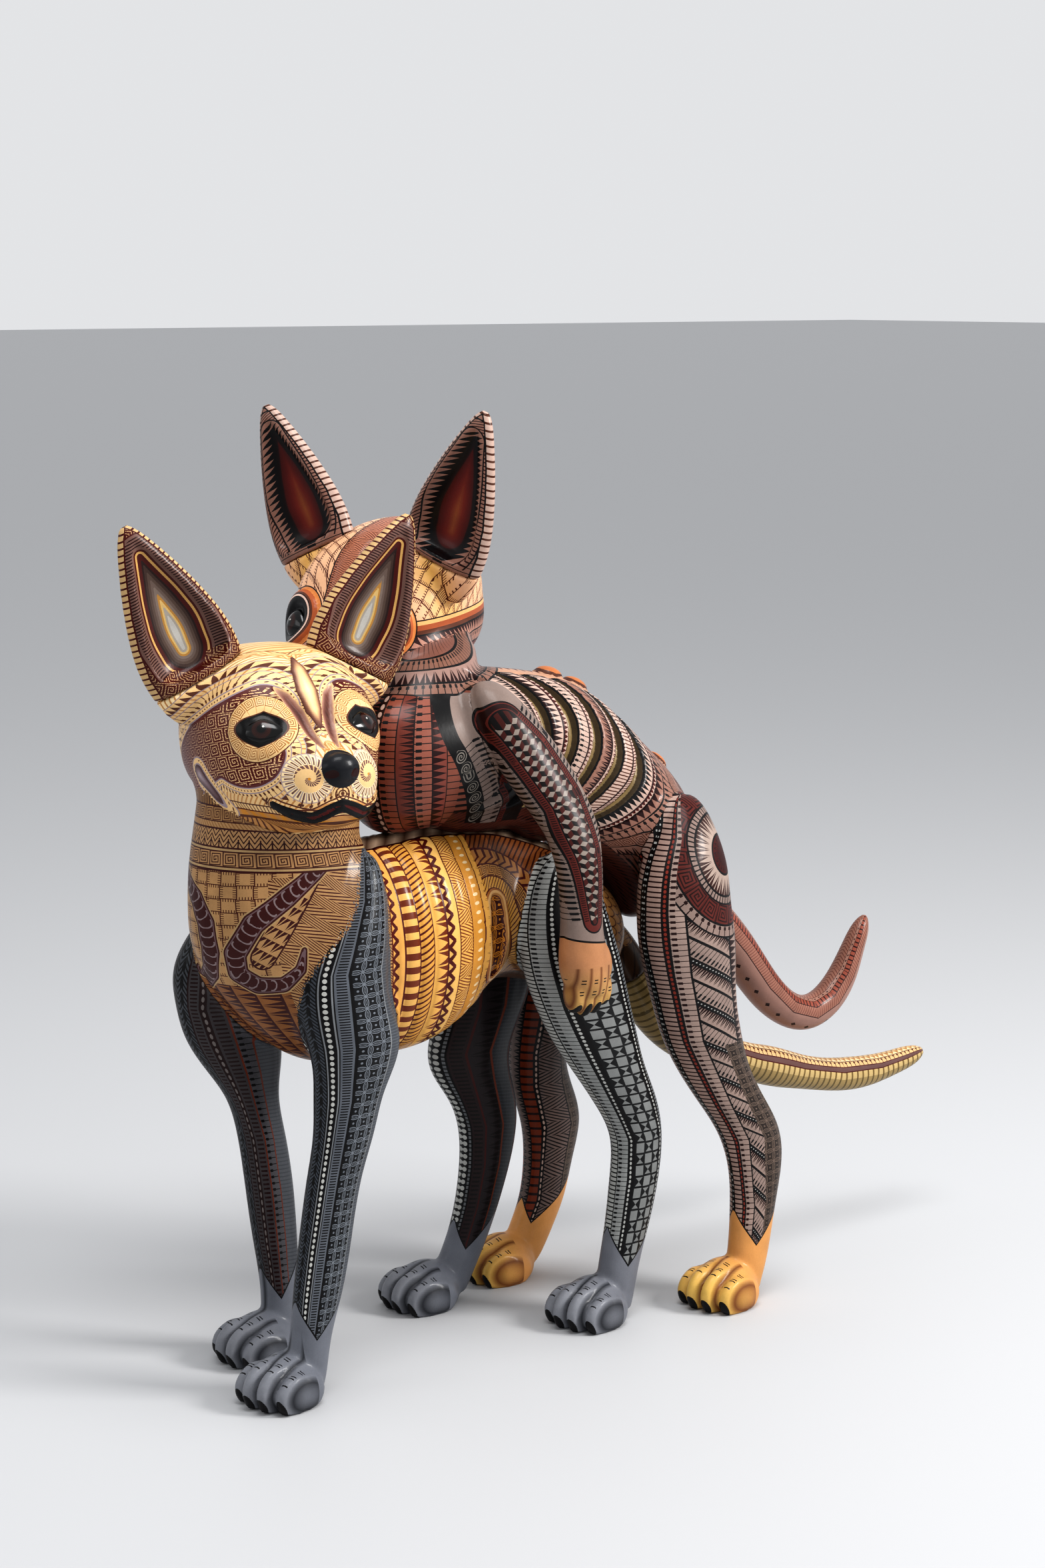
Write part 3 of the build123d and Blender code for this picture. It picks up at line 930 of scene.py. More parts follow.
def rear_ear_paint():
    paint = Paint("rear_ear_paint")
    along, across, thick = paint.field("ear")
    flame, edge, _ = paint.field("inner")
    paint.ground(PINK)
    paint.coat(pegs(along, across * 0.04 + 0.5, 4.4), BLACK)
    paint.coat(edge.between(3.4, 4.6), BLACK)
    paint.coat(edge.between(-9, 3.4), PALE_PINK)
    paint.coat(edge.between(-9, 3.4) & ticks(along, along, 5.0), BROWN)
    front = thick > along * 0.02 - 3.6
    paint.bands(
        along + across * 0.5,
        flame,
        [
            line(1.5),
            (9.0, teeth, 4.4, PINK, BLACK), line(10.0),
            (16.0, hatch, 3.0, PINK, DARK_MAROON), line(17.0),
        ],
        where=front & (edge > 4.4) & (along > 8),
        start=-1.0,
    )
    ripple = paint.math("ADD", flame * (-1 / 20.0), (flame * 0.9).fract() * 0.03)
    depth = paint.ramp(
        ripple,
        [
            (0.0, "140404"), (0.14, "24080A"), (0.2, "5E1710"), (0.4, "742018"),
            (0.6, "8A3424"),
            (0.8, "A05634"), (1.0, "B4763E"),
        ],
    )
    paint.coat((flame < 0) & front, depth)
    return paint.finish(0.4, 0.15)


# ---------------------------------------------------------------- limbs

# height, sideways, fore-and-aft, half width, half depth
LIMBS = {
    "front_foreleg_left": [
        (400, 36, -150, 16, 16), (362, 42, -157, 19, 20), (314, 48, -175, 25, 34),
        (259, 49, -168, 24, 37), (220, 48, -172, 20, 28), (163, 47, -184, 16, 22),
        (114, 46, -193, 15, 21), (71, 46, -201, 14, 19), (44, 45, -206, 14, 16),
        (0, 44, -212, 14, 15),
    ],
    "front_foreleg_right": [
        (376, 34, -196, 16, 16), (334, 43, -216, 20, 25), (278, 49, -216, 25, 37),
        (225, 49, -198, 21, 30), (172, 47, -185, 16, 19), (130, 46, -179, 15, 19),
        (88, 45, -175, 14, 18), (44, 44, -172, 14, 15), (0, 41, -175, 14, 15),
    ],
    "front_hindleg_left": [
        (376, 38, 36, 14, 20), (338, 48, 26, 21, 36), (302, 53, 28, 24, 43),
        (259, 54, 41, 24, 42),
        (203, 56, 66, 20, 32), (145, 56, 94, 16, 23), (113, 56, 93, 15, 22),
        (76, 55, 87, 14, 20),
        (45, 54, 80, 14, 18), (0, 53, 74, 13, 15),
    ],
    "front_hindleg_right": [
        (360, 38, 40, 14, 20), (322, 48, 34, 21, 34), (286, 52, 34, 24, 41),
        (240, 54, 30, 24, 40),
        (204, 56, 18, 22, 38), (141, 57, 36, 18, 27), (109, 57, 34, 16, 23),
        (77, 57, 26, 15, 20),
        (51, 58, 17, 14, 19), (0, 60, -2, 13, 16),
    ],
    "rear_hindleg_left": [
        (408, 42, 150, 16, 18), (376, 53, 144, 24, 27), (350, 60, 138, 27, 38),
        (322, 63, 136, 28, 42),
        (273, 66, 140, 28, 41), (219, 70, 149, 25, 35), (162, 75, 177, 20, 30),
        (132, 78, 194, 17, 28),
        (78, 81, 196, 15, 21), (51, 82, 192, 14, 19), (0, 82, 184, 13, 15),
    ],
    "rear_hindleg_right": [
        (408, 42, 146, 16, 18), (376, 53, 140, 24, 27), (350, 60, 134, 27, 36),
        (318, 64, 128, 28, 40),
        (252, 68, 114, 26, 34), (187, 72, 99, 22, 25), (159, 74, 104, 19, 27),
        (122, 77, 117, 17, 28),
        (61, 79, 110, 15, 21), (35, 79, 98, 14, 21), (0, 79, 84, 13, 16),
    ],
    "rear_foreleg_left": [
        (510, 40, -40, 14, 16), (478, 54, -30, 19, 24), (448, 66, -17, 20, 29),
        (421, 77, -5, 19, 27),
        (397, 88, 2, 17, 23), (373, 97, 2, 15, 19), (326, 99, 3, 15, 17), (290, 100, 6, 16, 19),
        (260, 100, 8, 14, 16),
    ],
}
LIMBS["rear_foreleg_right"] = LIMBS["rear_foreleg_left"]

# middle of the sole and outward turn in degrees
PAWS = {
    "front_foreleg_left": (43, -229, 12),
    "front_foreleg_right": (-42, -194, 0),
    "front_hindleg_left": (51, 52, 10),
    "front_hindleg_right": (-62, -26, -2),
    "rear_hindleg_left": (82, 162, 10),
    "rear_hindleg_right": (-79, 63, -5),
}
HOLDING_PAW = (100, 8, 292)


def paw_coordinates(spot, node):
    """Forward and sideways from the middle of the sole, by the paw's own heading."""
    x, y, degrees = PAWS[node]
    angle = math.radians(degrees)
    dx, dy = spot[:, 0] - x, spot[:, 1] - y
    sine, cosine = math.sin(angle), math.cos(angle)
    return dx * sine - dy * cosine, dx * cosine + dy * sine


def limb_fields(thing, node):
    sign = -1 if node.endswith("right") else 1
    spot = layout(positions(thing))
    save_field(thing, "limb", *limb_coordinates(spot, LIMBS[node], sign))
    if node in PAWS:
        save_field(thing, "paw", *paw_coordinates(spot, node), spot[:, 2])
    else:
        x, y, z = HOLDING_PAW
        save_field(thing, "paw", z - spot[:, 2], spot[:, 1] - y, np.abs(spot[:, 0]) - x)
    return spot


def paint_paw(paint, mask, colour, tip, shade, claw_low=True):
    """Toes with grooves darkened softly as painted shade, pairs of fine ticks and black claws.
    """
    forward, side, height = paint.field("paw")
    toe = 13.7 if claw_low else 9.0
    reach = (forward + 10) / 40.0
    paint.coat(mask, paint.blend(reach.most(0).least(1), colour, tip))
    # painted shade: the toes darken softly towards the grooves between them
    groove = ((side / toe).mirrored() - 0.30).most(0) * 5.0
    paint.coat(mask & groove.least(1) & (forward > -8), shade)
    middle = (side / toe).mirrored() < 0.17
    stroke_pair = (forward / 9.0).fract()
    lines = stroke_pair.between(0.1, 0.2) | stroke_pair.between(0.36, 0.46)
    paint.coat(mask & middle & lines & forward.between(-2, 21 if claw_low else 19), BLACK)
    across = (side / toe).centred() * toe
    if claw_low:
        rise = height - 6
        claw = (across * across / 15.0 + rise * rise / 40.0) < 1
        paint.coat(mask & claw & (forward > 14), BLACK)
    else:
        reach = forward - 26
        claw = (across * across / 13.0 + reach * reach / 34.0) < 1
        paint.coat(mask & claw & (height > -6), BLACK)


# paw colours: ground, toe tips, and painted shade in the toe grooves
GREY_PAW = ("7F828A", "94969C", "3C3E44")
AMBER_PAW = ("DCA66A", "E8C474", "8C5A30")
ANKLE = 46.0


def limb_paint(name, rows, base, paw, tip_height, tip_turn, extra=None):
    """A leg with bands along it that close in a point above the paw."""
    paint = Paint(name)
    along, turn, _ = paint.field("limb")
    paint.ground(base)
    paint.bands(along, turn, rows)
    if extra:
        extra(paint, along, turn)
    ankle = along < abs(turn - tip_turn) * 70.0 + tip_height
    edge = along < abs(turn - tip_turn) * 70.0 + (tip_height + 1.8)
    paint.coat(edge, BLACK)
    paint_paw(paint, ankle, *paw)
    return paint.finish(level=0.42 + ankle * 0.22)


def front_foreleg_left_paint():
    rows = [
        (0.135, feathers, 8.5, "666C75", BLACK), line(0.15), line(0.163, SILVER),
        line(0.178),
        (0.228, beads, 4.4, BLACK, "F2F2EC"), line(0.248), line(0.26, SILVER), line(0.27),
        (0.375, keys, 4.0, "858A92", BLACK), line(0.40), line(0.66, "1E2025"),
        line(0.672, SILVER),
        (1.01, hatch, 2.2, "6A6E75", "7F848B"),
    ]

    def lattice(paint, along, turn):
        field = petals(turn * 84.0, along, 9.0)
        paint.coat(turn.between(0.40, 0.66) & field, "9AA0A8")

    return limb_paint("front_foreleg_left_paint", rows, GREY, GREY_PAW, ANKLE, 0.42, lattice)


def front_foreleg_right_paint():
    rows = [
        (0.10, feathers, 13.0, "666A70", BLACK), line(0.115, DARK_MAROON),
        (0.20, keys, 6.0, "5F5A5C", DARK_MAROON), line(0.215, DARK_MAROON),
        (0.245, beads, 6.0, DARK_MAROON, "9A918E"), line(0.26, DARK_MAROON),
        (0.38, keys, 7.0, "5C5557", DARK_MAROON), line(0.395, RUST),
        (0.50, pegs, 5.0, "6C6A6E", BLACK), line(0.515, RUST),
        (1.01, hatch, 3.0, "6E7177", "5E6167"),
    ]
    return limb_paint("front_foreleg_right_paint", rows, DARK_GREY, GREY_PAW, ANKLE, 0.35)


def front_hindleg_left_paint():
    rows = [
        (0.07, ticks, 3.4, WHITE, BLACK), line(0.085),
        (0.235, pegs, 3.6, "BEC0BE", BLACK), line(0.26),
        (0.295, beads, 3.6, BLACK, WHITE), line(0.33), line(0.68, "A3A5A4"), line(0.70),
        (0.735, beads, 3.6, BLACK, WHITE), line(0.76),
        (1.01, comb, 3.0, "8E9295", BLACK),
    ]

    def squares(paint, along, turn):
        field = checks(turn * 80.0, along, 9.0)
        paint.coat(turn.between(0.33, 0.68) & field, "1B1C1F")

    return limb_paint(
        "front_hindleg_left_paint",
        rows,
        SILVER,
        # paw colours: ground, toe tips, and painted shade in the toe grooves
        ("85878E", "999BA1", "3F4147"),
        44.0,
        0.45,
        squares,
    )


def front_hindleg_right_paint():
    rows = [
        (0.11, beads, 5.2, "26262A", WHITE), line(0.125),
        (0.16, ticks, 3.4, "8A8D90", BLACK), line(0.18),
        (0.33, keys, 7.0, "3E2A2C", "1C0A0A"), line(0.35, MAROON),
        (0.52, fangs, 9.0, "3A2E32", "1C0A0A"), line(0.54, RUST),
        (0.75, hatch, 3.0, "44474D", "50545A"), line(0.765, RUST),
        (1.01, hatch, 3.0, "6E7177", "5E6167"),
    ]
    return limb_paint("front_hindleg_right_paint", rows, DARK_GREY, GREY_PAW, ANKLE, 0.35)


def rear_hindleg_left_paint():
    rows = [
        (0.03, dots, 4.4, BLACK, WHITE), line(0.04),
        (0.165, ticks, 3.8, "D2B6AA", DARK_MAROON), line(0.178),
        (0.208, beads, 3.6, DARK_MAROON, "B0503E"), line(0.224),
        (0.33, pegs, 4.4, "C6B0A6", DARK_MAROON), line(0.345),
        (0.66, fangs, 6.0, "B29E95", DARK_MAROON), line(0.675),
        (0.78, teeth, 5.0, "BAA59C", DARK_MAROON), line(0.795), line(1.01, "5E5048"),
    ]

    def details(paint, along, turn):
        reach, around_hip, _ = paint.field("hip")
        panel = turn.between(0.345, 0.66)
        shelf = ((along + turn * 70.0) / 34.0).fract() * 34.0
        paint.bands(
            turn * 90.0 - along,
            shelf,
            [line(1.4), (13.0, fangs, 5.0, "C0AAA0", DARK_MAROON), line(14.2),
             (17.4, dots, 3.6, BLACK, WHITE), line(18.6), (32.8, pegs, 4.4, "BAA59C", BLACK),
             line(34.1)],
            where=panel,
        )
        lower = (along < 225) & turn.between(0.5, 1.01)
        paint.coat(lower, "42352E")
        paint.coat(lower & petals(turn * 80.0, along, 9.0), "8C7A6E")
        paint.bands(
            around_hip,
            reach,
            [
                (17.0, waves, 8.0, MAROON, "2A1010"), line(18.6),
                (33.0, fangs, 6.5, "D0BCB0", "54302A"), line(34.6),
                (39.0, ticks, 3.0, "B49E95", BLACK), line(40.4),
                (55.0, frets, 10.0, "7E3B33", DARK_MAROON), line(56.6),
                (64.0, pegs, 3.4, "B49E95", DARK_MAROON), line(65.4),
            ],
            where=turn > 0.27,
        )

    return limb_paint(
        "rear_hindleg_left_paint", rows, GREY_PINK, AMBER_PAW, ANKLE, 0.42, details
    )


def rear_hindleg_right_paint():
    rows = [
        (0.10, fangs, 5.4, "8C7A74", BLACK), line(0.115),
        (0.26, ticks, 7.0, "9A4A28", DARK_MAROON), line(0.28),
        (0.31, beads, 5.0, BLACK, PALE_PINK), line(0.325),
        (0.60, cross_hatch, 12.0, GREY_PINK, BLACK), line(0.615), line(1.01, "54473F"),
    ]

    def details(paint, along, turn):
        lower = turn > 0.615
        paint.coat(lower & petals(turn * 80.0, along, 9.0), "8C7A6E")

    return limb_paint(
        "rear_hindleg_right_paint", rows, GREY_PINK, AMBER_PAW, ANKLE, 0.3, details
    )


SHOULDER_PATH = [
    (-43, 480, 0, 9), (-28, 458, 0, 12), (-8, 423, 0, 12), (0, 385, 0, 9), (4, 335, 0, 3),
]


SLEEVE_ROWS = [
    line(1.0),
    (5.5, keys, 3.4, "7A3A32", DARK_MAROON), line(6.7),
    (20.0, pegs, 4.2, "A3928A", BLACK), line(21.4),
    (32.0, waves, 10.0, "100E10", "9A948C"), line(33.4),
]


def rear_foreleg_paint():
    paint = Paint("rear_foreleg_paint")
    turn = paint.field("limb")[1]
    run, sleeve, depth = paint.field("sleeve")
    forward = paint.field("paw")[0]
    paint.ground("3A302E")
    paint.bands(run, sleeve, SLEEVE_ROWS + [(70.0, pegs, 4.4, "6E5046", BLACK)], start=-1.0)
    panel = sleeve < 0
    tile_x = depth * 0.9
    tile_y = run
    face = block_face(tile_x, tile_y, 7.0)
    paint.coat(panel, "A79B92")
    paint.coat(panel & (face > 0.5), "5E2A24")
    paint.coat(panel & (face > 1.5), "1B1213")
    cuff = forward > turn * 8.0 - 30.0
    paint.coat(forward > turn * 8.0 - 31.5, BLACK)
    # the third colour is the painted shade in the toe grooves
    paint_paw(paint, cuff, "D09C74", "E0BC74", "8C5A38", False)
    return paint.finish(level=0.5)

# ---------------------------------------------------------------- trunks

# fore-and-aft, low, high, half width of the front barrel
FRONT_BARREL = [
    (-178, 290, 332, 20), (-165, 256, 366, 38), (-140, 236, 389, 52), (-108, 232, 393, 57),
    (-75, 236, 392, 56), (-43, 254, 390, 51), (-16, 272, 387, 46), (46, 262, 365, 46),
    (98, 260, 336, 34), (115, 285, 310, 20),
]
# height, fore-and-aft, half width, half depth of the front neck
FRONT_NECK = [
    (235, -146, 30, 42), (260, -154, 42, 61), (285, -164, 50, 76), (315, -175, 55, 85),
    (345, -182, 56, 86), (370, -191, 54, 77), (420, -198, 50, 63), (475, -198, 44, 50),
]
LEFT_LOOP = [
    (40, -168, 404, 2), (51, -197, 390, 5), (47, -223, 371, 6.5), (37, -245, 353, 7),
    (27, -254, 331, 7), (25, -250, 316, 6.5), (33, -239, 307, 6), (43, -224, 307, 5),
    (50, -214, 318, 3), (52, -212, 332, 1),
]
LOOP_HEART = [(51, -203, 384, 5), (46, -228, 350, 9), (40, -239, 328, 8)]
RIGHT_LOOP = [
    (-26, -255, 395, 2), (-19, -262, 382, 5), (0, -268, 368, 6.5), (9, -266, 352, 7),
    (10, -263, 332, 7), (4, -260, 315, 6.5), (-10, -255, 306, 6), (-30, -245, 312, 3),
]
FLANK_PATH = [(46, -38, 342, 6), (49, -38, 325, 8), (46, -32, 292, 9)]
RIB_FIRST = -124.0
RIB_PITCH = 12.4
RIB_COUNT = 8


def barrel_turn(x, y, z):
    """Turn round the front barrel from the spine (0) to the belly (1)."""
    table = np.array(FRONT_BARREL, float)
    low, high, half = (np.interp(y, table[:, 0], table[:, i]) for i in (1, 2, 3))
    return np.abs(np.arctan2(x / half, (z - (low + high) / 2) / ((high - low) / 2))) / math.pi


def front_torso_fields(thing):
    spot = layout(positions(thing))
    x, y, z = spot.T
    turn = barrel_turn(x, y, z)
    save_field(thing, "barrel", y, turn, np.abs(x))
    table = np.array(FRONT_NECK, float)
    middle, half, depth = (np.interp(z, table[:, 0], table[:, i]) for i in (1, 2, 3))
    swing = np.arctan2(x / half, -(y - middle) / depth) / math.pi
    save_field(thing, "collar", z, swing, y)
    run_left, left = stroke(spot, LEFT_LOOP)
    run_right, right = stroke(spot, RIGHT_LOOP)
    use_right = right < left
    run = np.where(use_right, run_right, run_left)
    flank_spot = spot.copy()
    flank_spot[:, 0] = np.abs(spot[:, 0])
    flank = stroke(flank_spot, FLANK_PATH)[1]
    save_field(thing, "loops", run, np.minimum(left, right), flank)
    heart = stroke(spot, LOOP_HEART)[1]
    save_field(thing, "place", heart, y, z)


def front_torso_paint():
    paint = Paint("front_torso_paint")
    y, turn, aside = paint.field("barrel")
    height, swing, _ = paint.field("collar")
    run, loop, flank = paint.field("loops")
    heart, _, z = paint.field("place")
    paint.ground(CHEST)
    # chest: basket work
    around_chest = swing * 150.0
    paint.coat(weave(around_chest, height, 9.5), "6A2E1A")
    # triangles inside and outside the loops, and below them
    low_chest = height < 306
    paint.coat(low_chest, "C08650")
    paint.coat(low_chest & fangs(height, (around_chest / 13.0).fract(), 7.0), MAROON)
    paint.coat(low_chest & ((around_chest / 13.0).fract() < 0.1), MAROON)
    beside = (swing > 0.30) & (height < 385)
    paint.coat(beside, CHEST)
    hatching = cross_hatch(height + around_chest, (around_chest * 0.09).fract(), 10.0)
    paint.coat(beside & hatching, "6A2A1C")
    paint.coat(heart < 1.2, MAROON)
    paint.coat(heart < 0.0, CHEST)
    heart_fangs = fangs(height - around_chest, ((height + around_chest) / 12.0).fract(), 7.0)
    paint.coat((heart < 0.0) & heart_fangs, MAROON)
    paint.coat(loop < 2.4, CREAM)
    paint.coat(loop < 1.4, MAROON)
    paint.coat((loop < -0.8) & rings_row(run, loop * (-1 / 12.0), 7.0), "B7A3A4")
    paint.coat(loop.between(-0.6, 0.2), "9C8084")
    # collar bands
    tilt = height + swing * swing * 16.0
    paint.bands(
        around_chest,
        tilt,
        [
            line(391.5, MAROON), line(393.0, CREAM), line(393.9, MAROON),
            (403.6, frets, 9.7, "E2B583", "561C12"), line(404.5, MAROON),
            line(406.0, CREAM), line(407.2, MAROON),
            (419.0, arrows, 6.4, "E6BA88", "4E140E"), line(420.2, MAROON),
            (424.0, hatch, 2.6, CHEST, TAN), line(424.8, MAROON),
            (434.0, frets, 8.0, "D8AC78", "6E3420"), line(435.2, MAROON),
            (470.0, hatch, 3.0, TAN, "4E1E14"),
        ],
        start=390.0,
        where=(y < -140),
    )
    # barrel: raised golden ribs, each with its own pattern
    barrel = (y > RIB_FIRST - 14) & (y < RIB_FIRST + RIB_PITCH * RIB_COUNT)
    barrel = barrel & ((y + turn * 20 > RIB_FIRST - 8) | (turn > 0.75))
    around_barrel = turn * 165.0
    rib_rows = []
    kinds = [
        (blocks_row, 6.0, "DCAA62", MAROON), (wide_ticks, 6.6, "E4B870", "7A3B1E"),
        (hatch, 3.2, "D8A455", MAROON), (fangs, 7.0, "E4B468", "7A3B1E"),
        (blocks_row, 6.4, "E6BC74", MAROON), (cross_hatch, 7.0, "E2B468", "8A4A22"),
        (dots, 5.0, "D89F4A", PALE_CREAM), (fangs, 5.0, "E2B060", "7A5A3A"),
        (keys, 4.4, "CE9340", AMBER),
    ]
    edge = RIB_FIRST - 14
    for index, (kind, size, ground, ink) in enumerate(kinds):
        start = RIB_FIRST - 14 + index * RIB_PITCH
        rib_rows.append(line(start + 0.9, MAROON))
        rib_rows.append((start + RIB_PITCH, kind, size, ground, ink))
    paint.bands(around_barrel, y, rib_rows, start=edge, where=barrel & (y > -150))
    # flank: nested arches
    behind = (y > RIB_FIRST + RIB_PITCH * 6.2) & (y < 40)
    paint.bands(
        around_barrel + y,
        flank,
        [
            line(0.5, MAROON), line(2.0, "B98A57"), line(4.0, "D8B07A"),
            line(5.5, "A8703C"), line(6.3, MAROON),
            (14.5, ticks, 3.4, "DBA95A", MAROON), line(15.6, MAROON),
            (24.0, frets, 9.0, "CC9A5C", "5A2A18"), line(25.2, MAROON),
            (36.0, chevrons, 8.0, "C08A50", MAROON), line(37.5, MAROON),
            (80.0, hatch, 5.0, "9C6236", "4A2012"),
        ],
        start=0.0,
        where=behind,
    )
    inner = behind & (flank < 0)
    paint.coat(inner, "4A1A10")
    paint.coat(inner & petals(y * 1.0, z, 11.0), "D08F35")
    rear = y > 40
    paint.coat(rear, TAN)
    paint.coat(rear & scales(around_barrel, y, 9.0), BROWN)
    belly = (turn > 0.80) & (y > -40)
    paint.coat(belly, "6E4E34")
    paint.coat(belly & scales(aside, y, 8.0), "4C3422")
    # spine: a plaited rope
    rope = (aside < 14.0) & (y > -150) & (turn < 0.3)
    paint.coat((aside < 16.0) & (y > -150) & (turn < 0.3), DARK_MAROON)
    strand = ((y / 17.0) + aside * 0.05).fract()
    paint.coat(rope, paint.blend(abs(strand - 0.5) * 2.0, "B7A18C", "5B4436"))
    # everything outside the ribbed barrel is painted darker than the barrel: painted shade on
    # the chest and neck, which sit under the head
    return paint.finish(0.40, 0.2, level=0.36 + barrel * 0.38)


def blocks_row(along, share, size):
    """Row of cubes seen corner on."""
    cell = (along / size).mirrored()
    hook = (abs(share - 0.5) + cell * 0.8).between(0.3, 0.62) & (share < 0.52)
    return hook | (abs(share - 0.5) > 0.45)


# fore-and-aft, height, tilt, half width, back, belly of the rear trunk
REAR_TRUNK = [
    (-128, 450, 0, 20, 30, 30), (-110, 450, 0, 42, 49, 52), (-48, 455, 0, 51, 57, 60),
    (-8, 454, 2, 51, 58, 61), (36, 447, 12, 49, 57, 65), (78, 427, 27, 46, 53, 61),
    (112, 400, 38, 45, 50, 55), (142, 370, 45, 43, 49, 50), (165, 344, 50, 33, 36, 56),
    (184, 321, 53, 20, 20, 30),
]
GROOVE_FIRST = 109.0
GROOVE_PITCH = 24.5
GROOVE_COUNT = 6
GROOVE_WIDTH = 11.0
GROOVE_END = GROOVE_FIRST + GROOVE_PITCH * GROOVE_COUNT
RIB_BOW = 280.0
KNOBS = [(51, 501), (78, 493), (162, 426)]


def trunk_coordinates(spot):
    """Length along the rear trunk and turn from back (0) to belly (1)."""
    table = np.array(REAR_TRUNK, float)
    centres = table[:, :2]
    lengths = np.concatenate([[0], np.cumsum(np.linalg.norm(np.diff(centres, axis=0), axis=1))])
    fine = np.linspace(0, lengths[-1], 160)
    line_y = np.interp(fine, lengths, centres[:, 0])
    line_z = np.interp(fine, lengths, centres[:, 1])
    tilt = np.radians(np.interp(fine, lengths, table[:, 2]))
    # Each point belongs to the tilted section that passes through it.
    offset_y = spot[:, 1][:, None] - line_y[None, :]
    offset_z = spot[:, 2][:, None] - line_z[None, :]
    off_plane = offset_y * np.cos(tilt) - offset_z * np.sin(tilt)
    cross = np.argmin(np.abs(off_plane) + 0.12 * np.hypot(offset_y, offset_z), axis=1)
    rows = np.arange(len(spot))
    along = fine[cross] + off_plane[rows, cross]
    lean = tilt[cross]
    rise = offset_y[rows, cross] * np.sin(lean) + offset_z[rows, cross] * np.cos(lean)
    half = np.interp(along, lengths, table[:, 3])
    back = np.interp(along, lengths, table[:, 4])
    belly = np.interp(along, lengths, table[:, 5])
    reach = np.where(rise > 0, back, belly)
    turn = np.abs(np.arctan2(spot[:, 0] / half, rise / reach)) / math.pi
    return along, turn


def rear_torso_fields(thing):
    spot = layout(positions(thing))
    along, turn = trunk_coordinates(spot)
    save_field(thing, "barrel", along, turn, np.abs(spot[:, 0]))
    swing = np.arctan2(spot[:, 0] + 20, -(spot[:, 1] + 50)) / math.pi
    save_field(thing, "collar", spot[:, 2], swing, spot[:, 1])
    knob = np.full(len(spot), 1e3)
    for y, z in KNOBS:
        knob = np.minimum(knob, np.linalg.norm(spot - np.array([0, y, z]), axis=1))
    neck = stroke(spot, [(-74, -46, 556, 0), (-30, -56, 520, 0)])[1]
    heights = np.array([row[1] for row in SHOULDER_PATH[::-1]], float)
    line_y = np.interp(spot[:, 2], heights, [row[0] for row in SHOULDER_PATH[::-1]])
    save_field(thing, "knobs", knob, neck, line_y - spot[:, 1])
    flat = np.stack([spot[:, 1], spot[:, 2], np.zeros(len(spot))], 1)
    run, sleeve = stroke(flat, SHOULDER_PATH)
    save_field(thing, "sleeve", run, sleeve)


